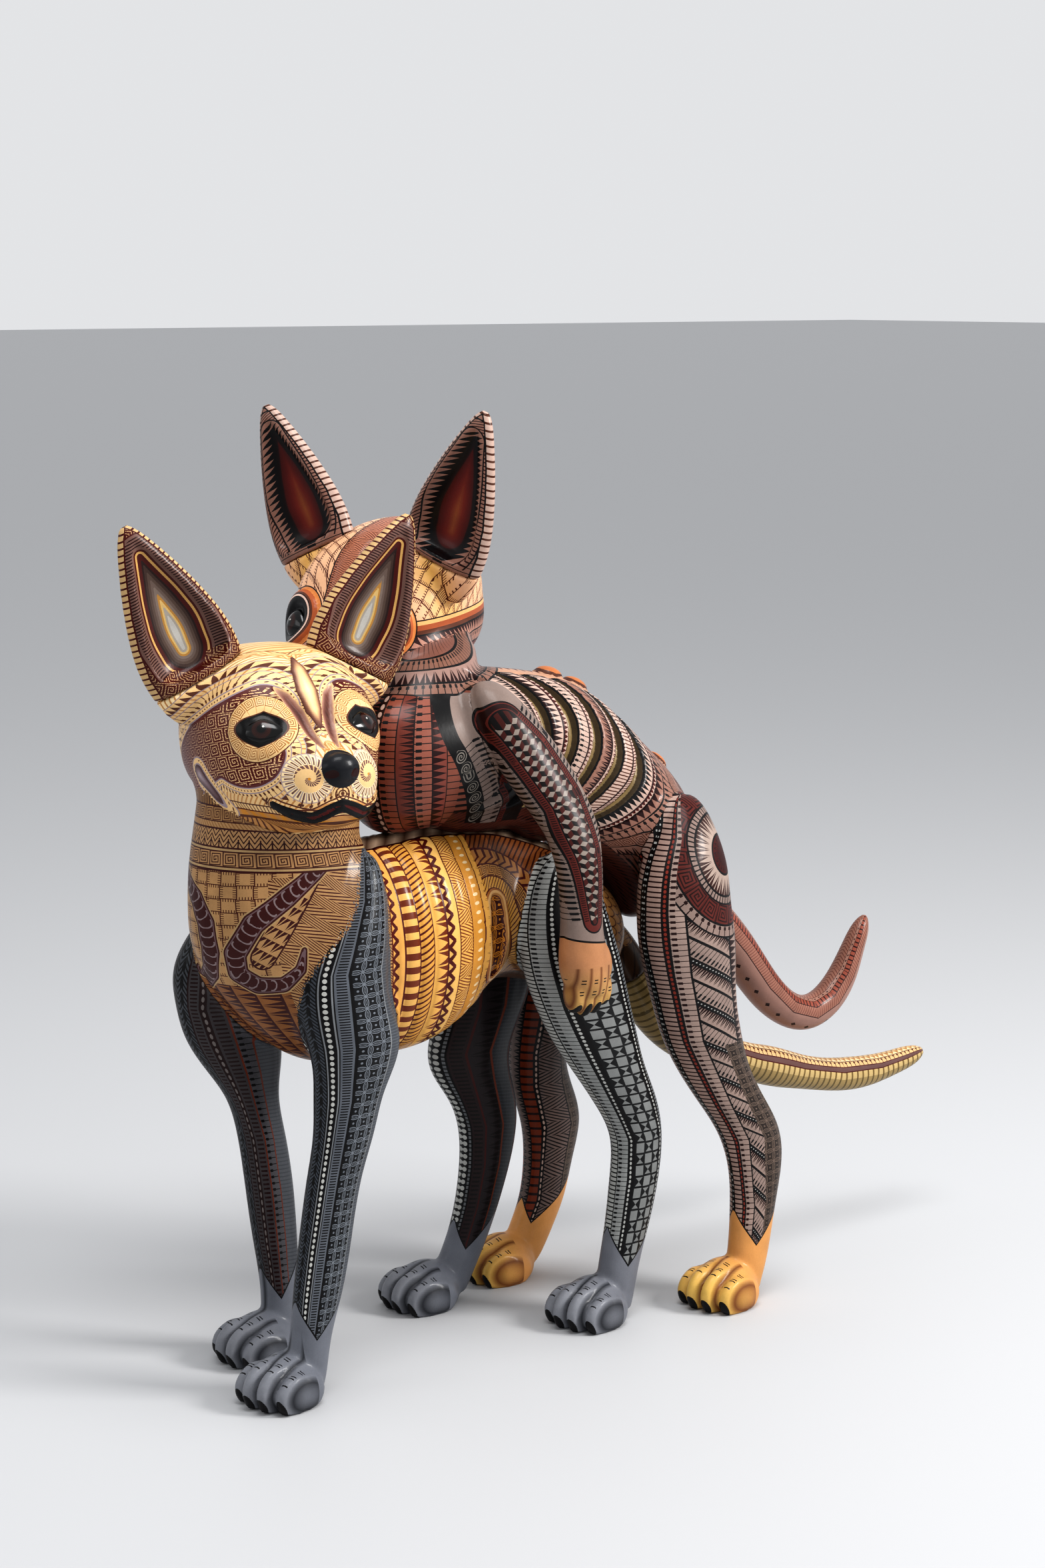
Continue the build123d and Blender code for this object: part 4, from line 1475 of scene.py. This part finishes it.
def rear_torso_paint():
    paint = Paint("rear_torso_paint")
    along, turn, aside = paint.field("barrel")
    height, swing, y = paint.field("collar")
    knob, neck, before = paint.field("knobs")
    run, sleeve, _ = paint.field("sleeve")
    paint.ground(PINK)
    around = turn * 165.0
    length = along
    along = length + (turn - 0.42) * (turn - 0.42) * RIB_BOW
    # chest: upright bands of serrated strokes, beads and combed strokes, on reddish-brown
    # grounds painted darker still as painted shadow cast by the front dog's head
    shadowed_chest_rows = [
        (5.0, dots, 4.4, BLACK, PALE_PINK), line(6.4),
        (20.0, cross_hatch, 8.0, "A0604E", DARK_MAROON), line(21.4),
        (30.0, teeth, 4.4, "8A4A3C", BLACK), line(31.4),
        (46.0, fangs, 5.0, "B07464", BLACK), line(47.4),
        (52.0, dots, 4.4, BLACK, PALE_PINK), line(53.4),
        (70.0, pegs, 4.6, "A66C5C", DARK_MAROON), line(71.4),
        (86.0, fangs, 5.0, "94564A", BLACK), line(87.4),
        (94.0, beads, 5.0, DARK_MAROON, PALE_PINK), line(95.4),
        (114.0, pegs, 5.0, "A0604E", BLACK), line(115.4),
        (134.0, fangs, 5.6, "8A4A3C", DARK_MAROON), line(135.4),
        (156.0, pegs, 5.0, "A66C5C", BLACK), line(157.4),
        (176.0, teeth, 5.0, "94564A", DARK_MAROON), line(177.4),
        (420.0, pegs, 5.0, "9A6150", BLACK),
    ]
    chest = along < GROOVE_FIRST + 14
    paint.bands(height, abs(swing + 0.06) * 420.0, shadowed_chest_rows, where=chest)
    # ribs: dark carved grooves between narrow patterned bands; each groove is olive-bronze
    # paint with painted shade on its first wall and a painted highlight on the bead in its
    # middle
    rib_rows = []
    kinds = [
        (fangs, 4.0, PALE_PINK, BLACK), (teeth, 4.0, PALE_PINK, DARK_MAROON),
        (pegs, 3.6, PALE_PINK, BLACK),
        (fangs, 4.0, PINK, DARK_MAROON), (hatch, 2.8, PALE_PINK, BROWN),
        (teeth, 4.0, PALE_PINK, BLACK),
    ]
    for index in range(GROOVE_COUNT):
        start = GROOVE_FIRST + index * GROOVE_PITCH
        kind, size, ground, ink = kinds[index]
        rib_rows += [
            line(start + 1.2), line(start + 4.2, "3B2E1E"), line(start + 7.2, OLIVE_PAINTED_HIGHLIGHT),
            line(start + 9.8, OLIVE), line(start + GROOVE_WIDTH),
            (start + GROOVE_PITCH * 0.80, kind, size, ground, ink),
            line(start + GROOVE_PITCH * 0.86, DARK_MAROON),
            (start + GROOVE_PITCH, kind, size * 0.8, PALE_PINK, MAROON),
        ]
    ribs = turn.between(0.10, 0.76) & (along > GROOVE_FIRST)
    paint.bands(around, along, rib_rows, start=GROOVE_FIRST, where=ribs & (along < GROOVE_END))
    # croup, belly and back
    croup = along > GROOVE_END
    paint.bands(
        around,
        along - GROOVE_END,
        [line(1.5), (10.0, teeth, 6.0, PINK, DARK_MAROON), line(11.2),
         (20.0, pegs, 5.0, PINK, BLACK),
         line(21.2), (32.0, frets, 9.0, PINK, BROWN), line(33.2),
         (44.0, fangs, 5.0, PINK, DARK_MAROON),
         line(45.2), (120.0, pegs, 5.0, "8E6458", BLACK)],
        where=croup,
    )
    back = (turn < 0.10) & (length > 80)
    paint.coat(back, "D2A88E")
    paint.coat(back & teeth(length, aside * 0.12, 6.0), MAROON)
    paint.coat(turn.between(0.095, 0.108) & (length > 80), BLACK)
    belly = (turn > 0.76) & (length > 62)
    paint.coat(belly, "6E3D31")
    paint.coat(belly & pegs(along, (around * 0.09).fract(), 6.0), "2A1010")
    # the bands that frame the forelegs, in front of them only
    framed = (sleeve < 33.4) & (before > -4) & (height < 500) & (turn < 0.84)
    paint.bands(run, sleeve, SLEEVE_ROWS, start=-30.0, where=framed)
    # neck: rings of triangles, stubs and dots round the throat
    paint.bands(
        swing * 150.0,
        neck,
        [
            (36.0, teeth, 7.0, "94695C", DARK_MAROON), line(37.4),
            (45.0, pegs, 5.0, "9B7464", BLACK), line(46.4),
            (56.0, fangs, 8.0, "B2948A", DARK_MAROON), line(57.4),
            (64.0, pegs, 5.0, "A27E70", BLACK), line(65.6),
        ],
        where=(height > 462) & (y < 10),
    )
    paint.coat(knob < 11.0, BROWN)
    paint.coat(knob < 9.6, "D08A5A")
    return paint.finish(0.42, 0.18)


# ---------------------------------------------------------------- tails

FRONT_TAIL = [
    (104, 296), (118, 281), (134, 258), (150, 233), (172, 208), (206, 186), (265, 163),
    (316, 147),
    (363, 136), (410, 133), (443, 136), (470, 140),
]
REAR_TAIL = [
    (168, 342), (184, 326), (216, 295), (248, 262), (276, 228), (303, 204), (330, 195),
    (354, 203),
    (372, 222), (385, 246), (397, 269),
]


def tail_fields(thing, path):
    spot = layout(positions(thing))
    path = np.array(path, float)
    flat = spot[:, 1:]
    best = np.full(len(spot), 1e9)
    along = np.zeros(len(spot))
    rise = np.zeros(len(spot))
    run = 0.0
    for start, end in zip(path[:-1], path[1:]):
        way = end - start
        length = np.linalg.norm(way)
        share = np.clip(((flat - start) @ way) / length**2, 0, 1)
        foot = start + share[:, None] * way
        gap = np.linalg.norm(flat - foot, axis=1)
        up = (flat - foot) @ (np.array([-way[1], way[0]]) / length)
        nearer = gap < best
        best[nearer] = gap[nearer]
        along[nearer] = (run + share * length)[nearer]
        rise[nearer] = up[nearer]
        run += length
    turn = np.abs(np.arctan2(spot[:, 0], rise)) / math.pi
    save_field(thing, "tail", along, turn)


def front_tail_paint():
    paint = Paint("front_tail_paint")
    along, turn, _ = paint.field("tail")
    paint.ground("B79A68")
    paint.bands(
        along,
        turn,
        [
            (0.05, dots, 6.0, CREAM, MAROON),
            (0.17, teeth, 6.0, PALE_CREAM, TAN), line(0.19, MAROON),
            (0.30, pegs, 5.0, CREAM, MAROON), line(0.32, MAROON), line(0.40, MAUVE),
            line(0.42, MAROON),
            (0.55, ticks, 6.5, "D9C08C", "8C7446"),
            (1.01, ticks, 6.5, "B7A070", "7C6A42"),
        ],
    )
    paint.coat(along < 36, MAROON)
    return paint.finish(0.42, 0.18)


def rear_tail_paint():
    paint = Paint("rear_tail_paint")
    along, turn, _ = paint.field("tail")
    paint.ground(COPPER)
    paint.bands(
        along,
        turn,
        [
            (0.16, hatch, 3.0, "A87C6C", "85574A"), line(0.17, DARK_MAROON),
            (0.24, dots, 5.0, PINK, DARK_MAROON), line(0.25, DARK_MAROON),
            (0.36, ticks, 4.0, "A5604E", DARK_MAROON), line(0.375, DARK_MAROON),
            (0.55, hatch, 2.6, "AE8070", "8E5F52"), line(0.565, DARK_MAROON),
            line(1.01, "B28E82"),
        ],
    )
    diamond = (along / 16.0).mirrored() * 16.0 + abs(turn - 0.78) * 60.0
    paint.coat((diamond < 2.6) & (turn > 0.57), DARK_MAROON)
    paint.coat(along < 36, DARK_MAROON)
    return paint.finish(0.42, 0.18)


# The painted almond: middle in the skull's directions, its long, short and outward
# directions, and half sizes in millimetres for each dog.
EYE_MIDDLE = np.array([59.5, 39.3, 6.0])
EYE_LONG = np.array([-0.54, 0.84, 0.0])
EYE_OUT = np.array([0.70, 0.45, 0.55])
EYE_RINGS, EYE_SIDES = 40, 32
EYE_HALF = {"front": (16.5, 9.6, 5.2), "rear": (14.5, 11.5, 8.0)}


def eye_lens(name, dog, sign):
    """Closed almond with pointed corners, set into the skin of the head."""
    centre, forward, left, up = HEADS[dog]
    long_way = EYE_LONG / np.linalg.norm(EYE_LONG)
    out_way = EYE_OUT - long_way * (EYE_OUT @ long_way)
    out_way /= np.linalg.norm(out_way)
    own_ways = np.stack([long_way, np.cross(out_way, long_way), out_way])
    half_long, half_short, half_out = EYE_HALF[dog]
    own = []
    for ring in range(1, EYE_RINGS):
        share = math.cos(math.pi * ring / EYE_RINGS)
        swell = (1 - abs(share) ** 1.5) ** 0.72
        for side in range(EYE_SIDES):
            angle = 2 * math.pi * side / EYE_SIDES
            own.append((
                share * half_long,
                math.cos(angle) * swell * half_short,
                math.sin(angle) * swell * half_out,
            ))
    own = np.array(own + [(half_long, 0, 0), (-half_long, 0, 0)])
    last_ring = (EYE_RINGS - 2) * EYE_SIDES
    tip = last_ring + EYE_SIDES
    faces = []
    for j in range(EYE_SIDES):
        k = (j + 1) % EYE_SIDES
        for i in range(0, last_ring, EYE_SIDES):
            faces.append((i + j, i + k, i + EYE_SIDES + k, i + EYE_SIDES + j))
        faces += [(tip, k, j), (tip + 1, last_ring + j, last_ring + k)]
    in_skull = EYE_MIDDLE + own @ own_ways
    reach = in_skull @ np.stack([forward, left * sign, up]) * MM
    thing = made_object(name, centre + reach, faces)
    save_field(thing, "lens", own[:, 0], own[:, 1])
    return thing


def eye_paint():
    paint = Paint("eye_paint")
    a, b, _ = paint.field("lens")
    reach = (a * a + b * b).root()
    paint.ground("040303")
    paint.coat(reach < 7.2, "26100B")
    paint.coat((reach < 6.6) & ((paint.angle(b, a) * 6.0).fract() < 0.6), "4C2213")
    paint.coat(reach < 4.4, "361610")
    paint.coat(reach < 3.2, "030202")
    # painted highlight: a small white glint on each eye
    paint.coat((abs(a + 1.2) + abs(b - 1.8)) < 0.9, "F2EEE8")
    return paint.finish(0.14, 0.55, 0.00002)

# ---------------------------------------------------------------- pieces

DOGS = ("front", "rear")
BLEND_REACH = 0.011
GUIDE_MARGIN = 0.02
GUIDE_FADE = (0.006, 0.015)
GUIDE_ROUNDS = 45
SOFT_VOXEL = 0.003


def body_skin(dog):
    """The whole dog as one softened skin, used to round the joints between pieces."""
    members = [n for n in frame["record"]["behaviour"]["bodies"][dog] if "eye" not in n]
    skin = remeshed(dog + "_guide", members, SOFT_VOXEL, 2)
    places = positions(skin)
    trees = {n: tree_of(n) for n in members}
    nearest = np.full((len(places), 2), 1.0)
    for node in members:
        low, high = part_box(node)
        near = inside_box(places, low, high, GUIDE_MARGIN)
        gap = np.full(len(places), 0.02)
        gap[near] = distances(trees[node], places[near], 0.02)
        worse = gap < nearest[:, 0]
        nearest[worse, 1] = nearest[worse, 0]
        nearest[worse, 0] = gap[worse]
        middle = ~worse & (gap < nearest[:, 1])
        nearest[middle, 1] = gap[middle]
    weight = 1 - step(nearest[:, 1], *GUIDE_FADE)
    places = relaxed(skin, places, weight, GUIDE_ROUNDS)
    faces = [tuple(face.vertices) for face in skin.data.polygons]
    guide = BVHTree.FromPolygons([tuple(p) for p in places], faces)
    bpy.data.objects.remove(skin)
    return guide, trees


def settle(thing, node, guide, trees):
    """Moves the skin near a joint onto the rounded guide."""
    places = positions(thing)
    gap = np.full(len(places), BLEND_REACH)
    for other, tree in trees.items():
        if other == node:
            continue
        low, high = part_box(other)
        near = inside_box(places, low, high, 0.012)
        if near.any():
            gap[near] = np.minimum(gap[near], distances(tree, places[near], BLEND_REACH))
    pull = 1 - step(gap, 0.004, BLEND_REACH)
    for index in np.nonzero(pull > 0.01)[0]:
        hit = guide.find_nearest(places[index], 0.007)
        if hit[0] is not None:
            places[index] += (np.array(hit[0]) - places[index]) * pull[index]
    place(thing, places)


def bulge(value, reach):
    """Rounded hill: 1 at zero, 0 beyond the reach."""
    share = np.clip(np.abs(value) / reach, 0, 1)
    return np.sqrt(1 - share * share)


def raise_by(thing, heights):
    """Carves the skin outwards (or inwards) by millimetres."""
    place(thing, positions(thing) + normals(thing) * heights[:, None] * MM)


def carve_front_torso(thing):
    spot = layout(positions(thing))
    x, y, z = spot.T
    turn = barrel_turn(x, y, z)
    share = ((y - (RIB_FIRST - 14 + 0.5)) / RIB_PITCH) % 1
    window = step(turn, 0.06, 0.12) * (1 - step(turn, 0.78, 0.88))
    window = window * step(y, RIB_FIRST - 12, RIB_FIRST - 6)
    window = window * (1 - step(y, RIB_FIRST + RIB_PITCH * 6.4, RIB_FIRST + RIB_PITCH * 7))
    heights = window * (2.2 * (1 - np.abs(2 * share - 1) ** 3) - 0.9)
    rope = bulge(np.abs(x), 9.0) * (0.7 + 0.3 * np.abs(np.sin(math.pi * (y + x) / 8.5)))
    rope_window = step(y, -150, -130) * (1 - step(y, 80, 100))
    heights += 3.0 * rope * (1 - step(turn, 0.2, 0.3)) * rope_window
    heights += 4.0 * (1 - step(turn, 0.10, 0.22)) * step(y, -110, -80) * (1 - step(y, 50, 80))
    side = spot.copy()
    side[:, 0] = np.abs(x)
    flank = stroke(side, FLANK_PATH)[1]
    arch_edge = 1.6 * bulge(flank - 3.0, 3.2) - 1.2 * (flank < 0)
    heights += np.where((y > -58) & (y < 20), arch_edge, 0)
    raise_by(thing, heights)


def carve_rear_torso(thing):
    spot = layout(positions(thing))
    along, turn = trunk_coordinates(spot)
    length = along
    along = length + (turn - 0.42) ** 2 * RIB_BOW
    share = (along - GROOVE_FIRST) % GROOVE_PITCH
    window = step(turn, 0.08, 0.14) * (1 - step(turn, 0.68, 0.78))
    window = window * step(along, GROOVE_FIRST - 1, GROOVE_FIRST)
    window = window * (1 - step(along, GROOVE_END, GROOVE_END + 1))
    hollow = np.sin(math.pi * np.clip(share / GROOVE_WIDTH, 0, 1)) ** 2
    groove = np.where(share < GROOVE_WIDTH, hollow, 0)
    inner = bulge(share - GROOVE_WIDTH / 2, 2.2) * 1.4 * (share < GROOVE_WIDTH)
    heights = window * (inner - 6.5 * groove + 1.0 * (share > GROOVE_WIDTH))
    window = step(length, 55, 80) * (1 - step(length, 190, 215))
    heights += 5.0 * step(turn, 0.78, 0.92) * window
    for y, z in KNOBS:
        gap = np.linalg.norm(spot - np.array([0, y, z]), axis=1)
        heights += 6.0 * bulge(gap, 11.0)
    raise_by(thing, heights)


def carve_head(thing, dog):
    spot = in_head(dog, positions(thing))
    spot[:, 1] = np.abs(spot[:, 1])
    heights = np.zeros(len(spot))
    lip = stroke(spot, LIP_PATH)[1]
    heights += 1.6 * bulge(lip + 3, 5.0) - 1.8 * bulge(lip + 4, 1.8)
    if dog == "front":
        heights -= 2.4 * bulge(stroke(spot, BROW_PATH)[1] + 2.5, 3.5)
        heights += 2.6 * bulge(stroke(spot, RIDGE_PATH)[1] + 5, 6.0)
        heights += 1.2 * bulge(stroke(spot, TEAR_PATH)[1] + 3, 6.0)
    else:
        heights += 3.0 * bulge(spot[:, 1], 9.0) * (spot[:, 0] < 70) * (spot[:, 0] > 0)
    ring = np.linalg.norm(spot - np.array(RING_AT), axis=1)
    lid = 2.2 if dog == "front" else 5.0
    heights += lid * bulge(ring - 17.5, 6.5)
    nostril = np.linalg.norm(spot - np.array([107, 9, -20]), axis=1)
    heights -= 2.2 * bulge(nostril, 4.5)
    raise_by(thing, heights)


def carve_paw(thing, node):
    if node not in PAWS:
        return
    spot = layout(positions(thing))
    forward, side = paw_coordinates(spot, node)
    low = (spot[:, 2] > 1.5) & (spot[:, 2] < 40)
    gap = np.abs((side / 13.7) - np.round(side / 13.7)) * 13.7
    heights = -1.6 * bulge(gap, 2.6) * step(forward, -4, 8) * low
    heights += 0.8 * low * step(forward, 0, 10)
    raise_by(thing, heights)


PAINTS = {
    "front_torso": front_torso_paint(),
    "rear_torso": rear_torso_paint(),
    "front_head": front_head_paint(),
    "rear_head": rear_head_paint(),
    "front_ear": front_ear_paint(),
    "rear_ear": rear_ear_paint(),
    "front_tail": front_tail_paint(),
    "rear_tail": rear_tail_paint(),
    "eye": eye_paint(),
    "front_foreleg_left": front_foreleg_left_paint(),
    "front_foreleg_right": front_foreleg_right_paint(),
    "front_hindleg_left": front_hindleg_left_paint(),
    "front_hindleg_right": front_hindleg_right_paint(),
    "rear_hindleg_left": rear_hindleg_left_paint(),
    "rear_hindleg_right": rear_hindleg_right_paint(),
    "rear_foreleg": rear_foreleg_paint(),
}


def paint_for(node):
    if "_eye_" in node:
        return PAINTS["eye"]
    for key in (node, node.rsplit("_", 1)[0]):
        if key in PAINTS:
            return PAINTS[key]
    raise KeyError(node)


def voxel_for(node):
    if "_ear_" in node:
        return 0.0014
    return 0.0021


def store_fields(thing, node):
    dog = node.split("_")[0]
    sign = -1 if node.endswith("right") else 1
    if "torso" in node:
        if dog == "front":
            front_torso_fields(thing)
        else:
            rear_torso_fields(thing)
    elif "head" in node:
        head_fields(thing, dog)
    elif "_ear_" in node:
        ear_fields(thing, dog, sign)
    elif "tail" in node:
        tail_fields(thing, FRONT_TAIL if dog == "front" else REAR_TAIL)
    else:
        spot = limb_fields(thing, node)
        if node.startswith("rear_foreleg"):
            flat = np.stack([spot[:, 1], spot[:, 2], np.zeros(len(spot))], 1)
            run, sleeve = stroke(flat, SHOULDER_PATH)
            save_field(thing, "sleeve", run, sleeve, spot[:, 1] + spot[:, 2] * 0.4)
        if node == "rear_hindleg_left":
            hip = spot - np.array([90, 165, 362])
            reach = np.linalg.norm(hip * np.array([0.6, 1.0, 1.0]), axis=1)
            around_hip = np.arctan2(hip[:, 2], hip[:, 1]) * 30
            save_field(thing, "hip", reach, around_hip, spot[:, 2])


def flatten_eyes(thing, dog):
    """Draws the skin level over the eye pockets, ready for the painted almonds."""
    places = positions(thing)
    spot = in_head(dog, places)
    spot[:, 1] = np.abs(spot[:, 1])
    reach = np.linalg.norm(spot - np.array([EYE_FORWARD, EYE_SIDE, EYE_UP]), axis=1)
    place(thing, relaxed(thing, places, 1 - step(reach, 15.0, 19.0), 160))


def make_piece(node, dog, guide, trees):
    if "_eye_" in node:
        thing = eye_lens(node + "_carved", dog, -1 if node.endswith("right") else 1)
        thing.data.polygons.foreach_set("use_smooth", [True] * len(thing.data.polygons))
        thing.data.materials.append(paint_for(node))
        return thing
    sources = [node]
    if node.endswith("_head"):
        sources += [dog + "_eye_left", dog + "_eye_right"]
    thing = remeshed(node + "_carved", sources, voxel_for(node), 6 if "_ear_" in node else 3)
    if guide is not None:
        settle(thing, node, guide, trees)
    if node.endswith("_head"):
        flatten_eyes(thing, dog)
    store_fields(thing, node)
    if node == "front_torso":
        carve_front_torso(thing)
    elif node == "rear_torso":
        carve_rear_torso(thing)
    elif node.endswith("_head"):
        carve_head(thing, dog)
    elif "leg" in node:
        carve_paw(thing, node)
    thing.data.polygons.foreach_set("use_smooth", [True] * len(thing.data.polygons))
    thing.data.materials.clear()
    thing.data.materials.append(paint_for(node))
    return thing


for body, members in frame["record"]["behaviour"]["bodies"].items():
    dog = body.split("_")[0]
    guide, trees = body_skin(body) if body in DOGS else (None, {})
    for node in members:
        thing = make_piece(node, dog, guide, trees)
        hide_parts(node)
        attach(thing, body)

# ---------------------------------------------------------------- stage


def plain_material(name, colour, roughness):
    paint = Paint(name)
    shader = paint.node("ShaderNodeBsdfPrincipled")
    shader.inputs["Base Color"].default_value = linear(colour)
    shader.inputs["Roughness"].default_value = roughness
    output = paint.node("ShaderNodeOutputMaterial")
    paint.tree.links.new(shader.outputs[0], output.inputs["Surface"])
    return paint.material


FLOOR_REACH = 40.0
FLOOR_COLOUR, FLOOR_ROUGHNESS = "B8B9BB", 0.6
WORLD_COLOUR, WORLD_STRENGTH = "E2E3E5", 0.86
CAMERA_AT = (1.8166, -1.4843, 0.80)
CAMERA_AZIMUTH, CAMERA_DIP = math.radians(51.3), math.radians(9.44)
CAMERA_LENS = 70
# Each lamp: place, aim, size, power, colour.
LAMPS = {
    "key": ((2.0, 1.5, 1.75), (0, 0, 0.4), 0.8, 75, (1.0, 0.98, 0.96)),
    "top": ((0.5, -0.3, 2.5), (0, 0, 0.4), 1.0, 28, (1, 1, 1)),
    "front": ((-0.6, -2.7, 1.7), (0, 0, 0.35), 1.2, 7, (1, 1, 1)),
}


def stage():
    corners = [(-1, -1), (1, -1), (1, 1), (-1, 1)]
    places = [(x * FLOOR_REACH, y * FLOOR_REACH, 0) for x, y in corners]
    floor = made_object("floor", places, [(0, 1, 2, 3)])
    floor.data.materials.append(plain_material("floor", FLOOR_COLOUR, FLOOR_ROUGHNESS))
    world = bpy.data.worlds.new("studio")
    bpy.context.scene.world = world
    world.use_nodes = True
    background = world.node_tree.nodes["Background"]
    background.inputs["Color"].default_value = linear(WORLD_COLOUR)
    background.inputs["Strength"].default_value = WORLD_STRENGTH


def area_light(name, where, aim, size, power, colour):
    data = bpy.data.lights.new(name, "AREA")
    data.size = size
    data.energy = power
    data.color = colour
    lamp = bpy.data.objects.new(name, data)
    lamp.location = where
    lamp.rotation_euler = (Vector(aim) - Vector(where)).to_track_quat("-Z", "Y").to_euler()
    bpy.context.scene.collection.objects.link(lamp)


def camera():
    """Stands left and in front of the dogs, a little above their ears."""
    data = bpy.data.cameras.new("camera")
    data.lens = CAMERA_LENS
    thing = bpy.data.objects.new("camera", data)
    thing.location = CAMERA_AT
    level = math.cos(CAMERA_DIP)
    across, ahead = math.sin(CAMERA_AZIMUTH) * level, math.cos(CAMERA_AZIMUTH) * level
    way = Vector((-across, ahead, -math.sin(CAMERA_DIP)))
    thing.rotation_euler = way.to_track_quat("-Z", "Y").to_euler()
    bpy.context.scene.collection.objects.link(thing)
    bpy.context.scene.camera = thing


stage()
camera()
for lamp_name, lamp_values in LAMPS.items():
    area_light(lamp_name, *lamp_values)

bpy.context.scene.view_settings.view_transform = "Standard"
bpy.context.scene.view_settings.look = "Medium High Contrast"
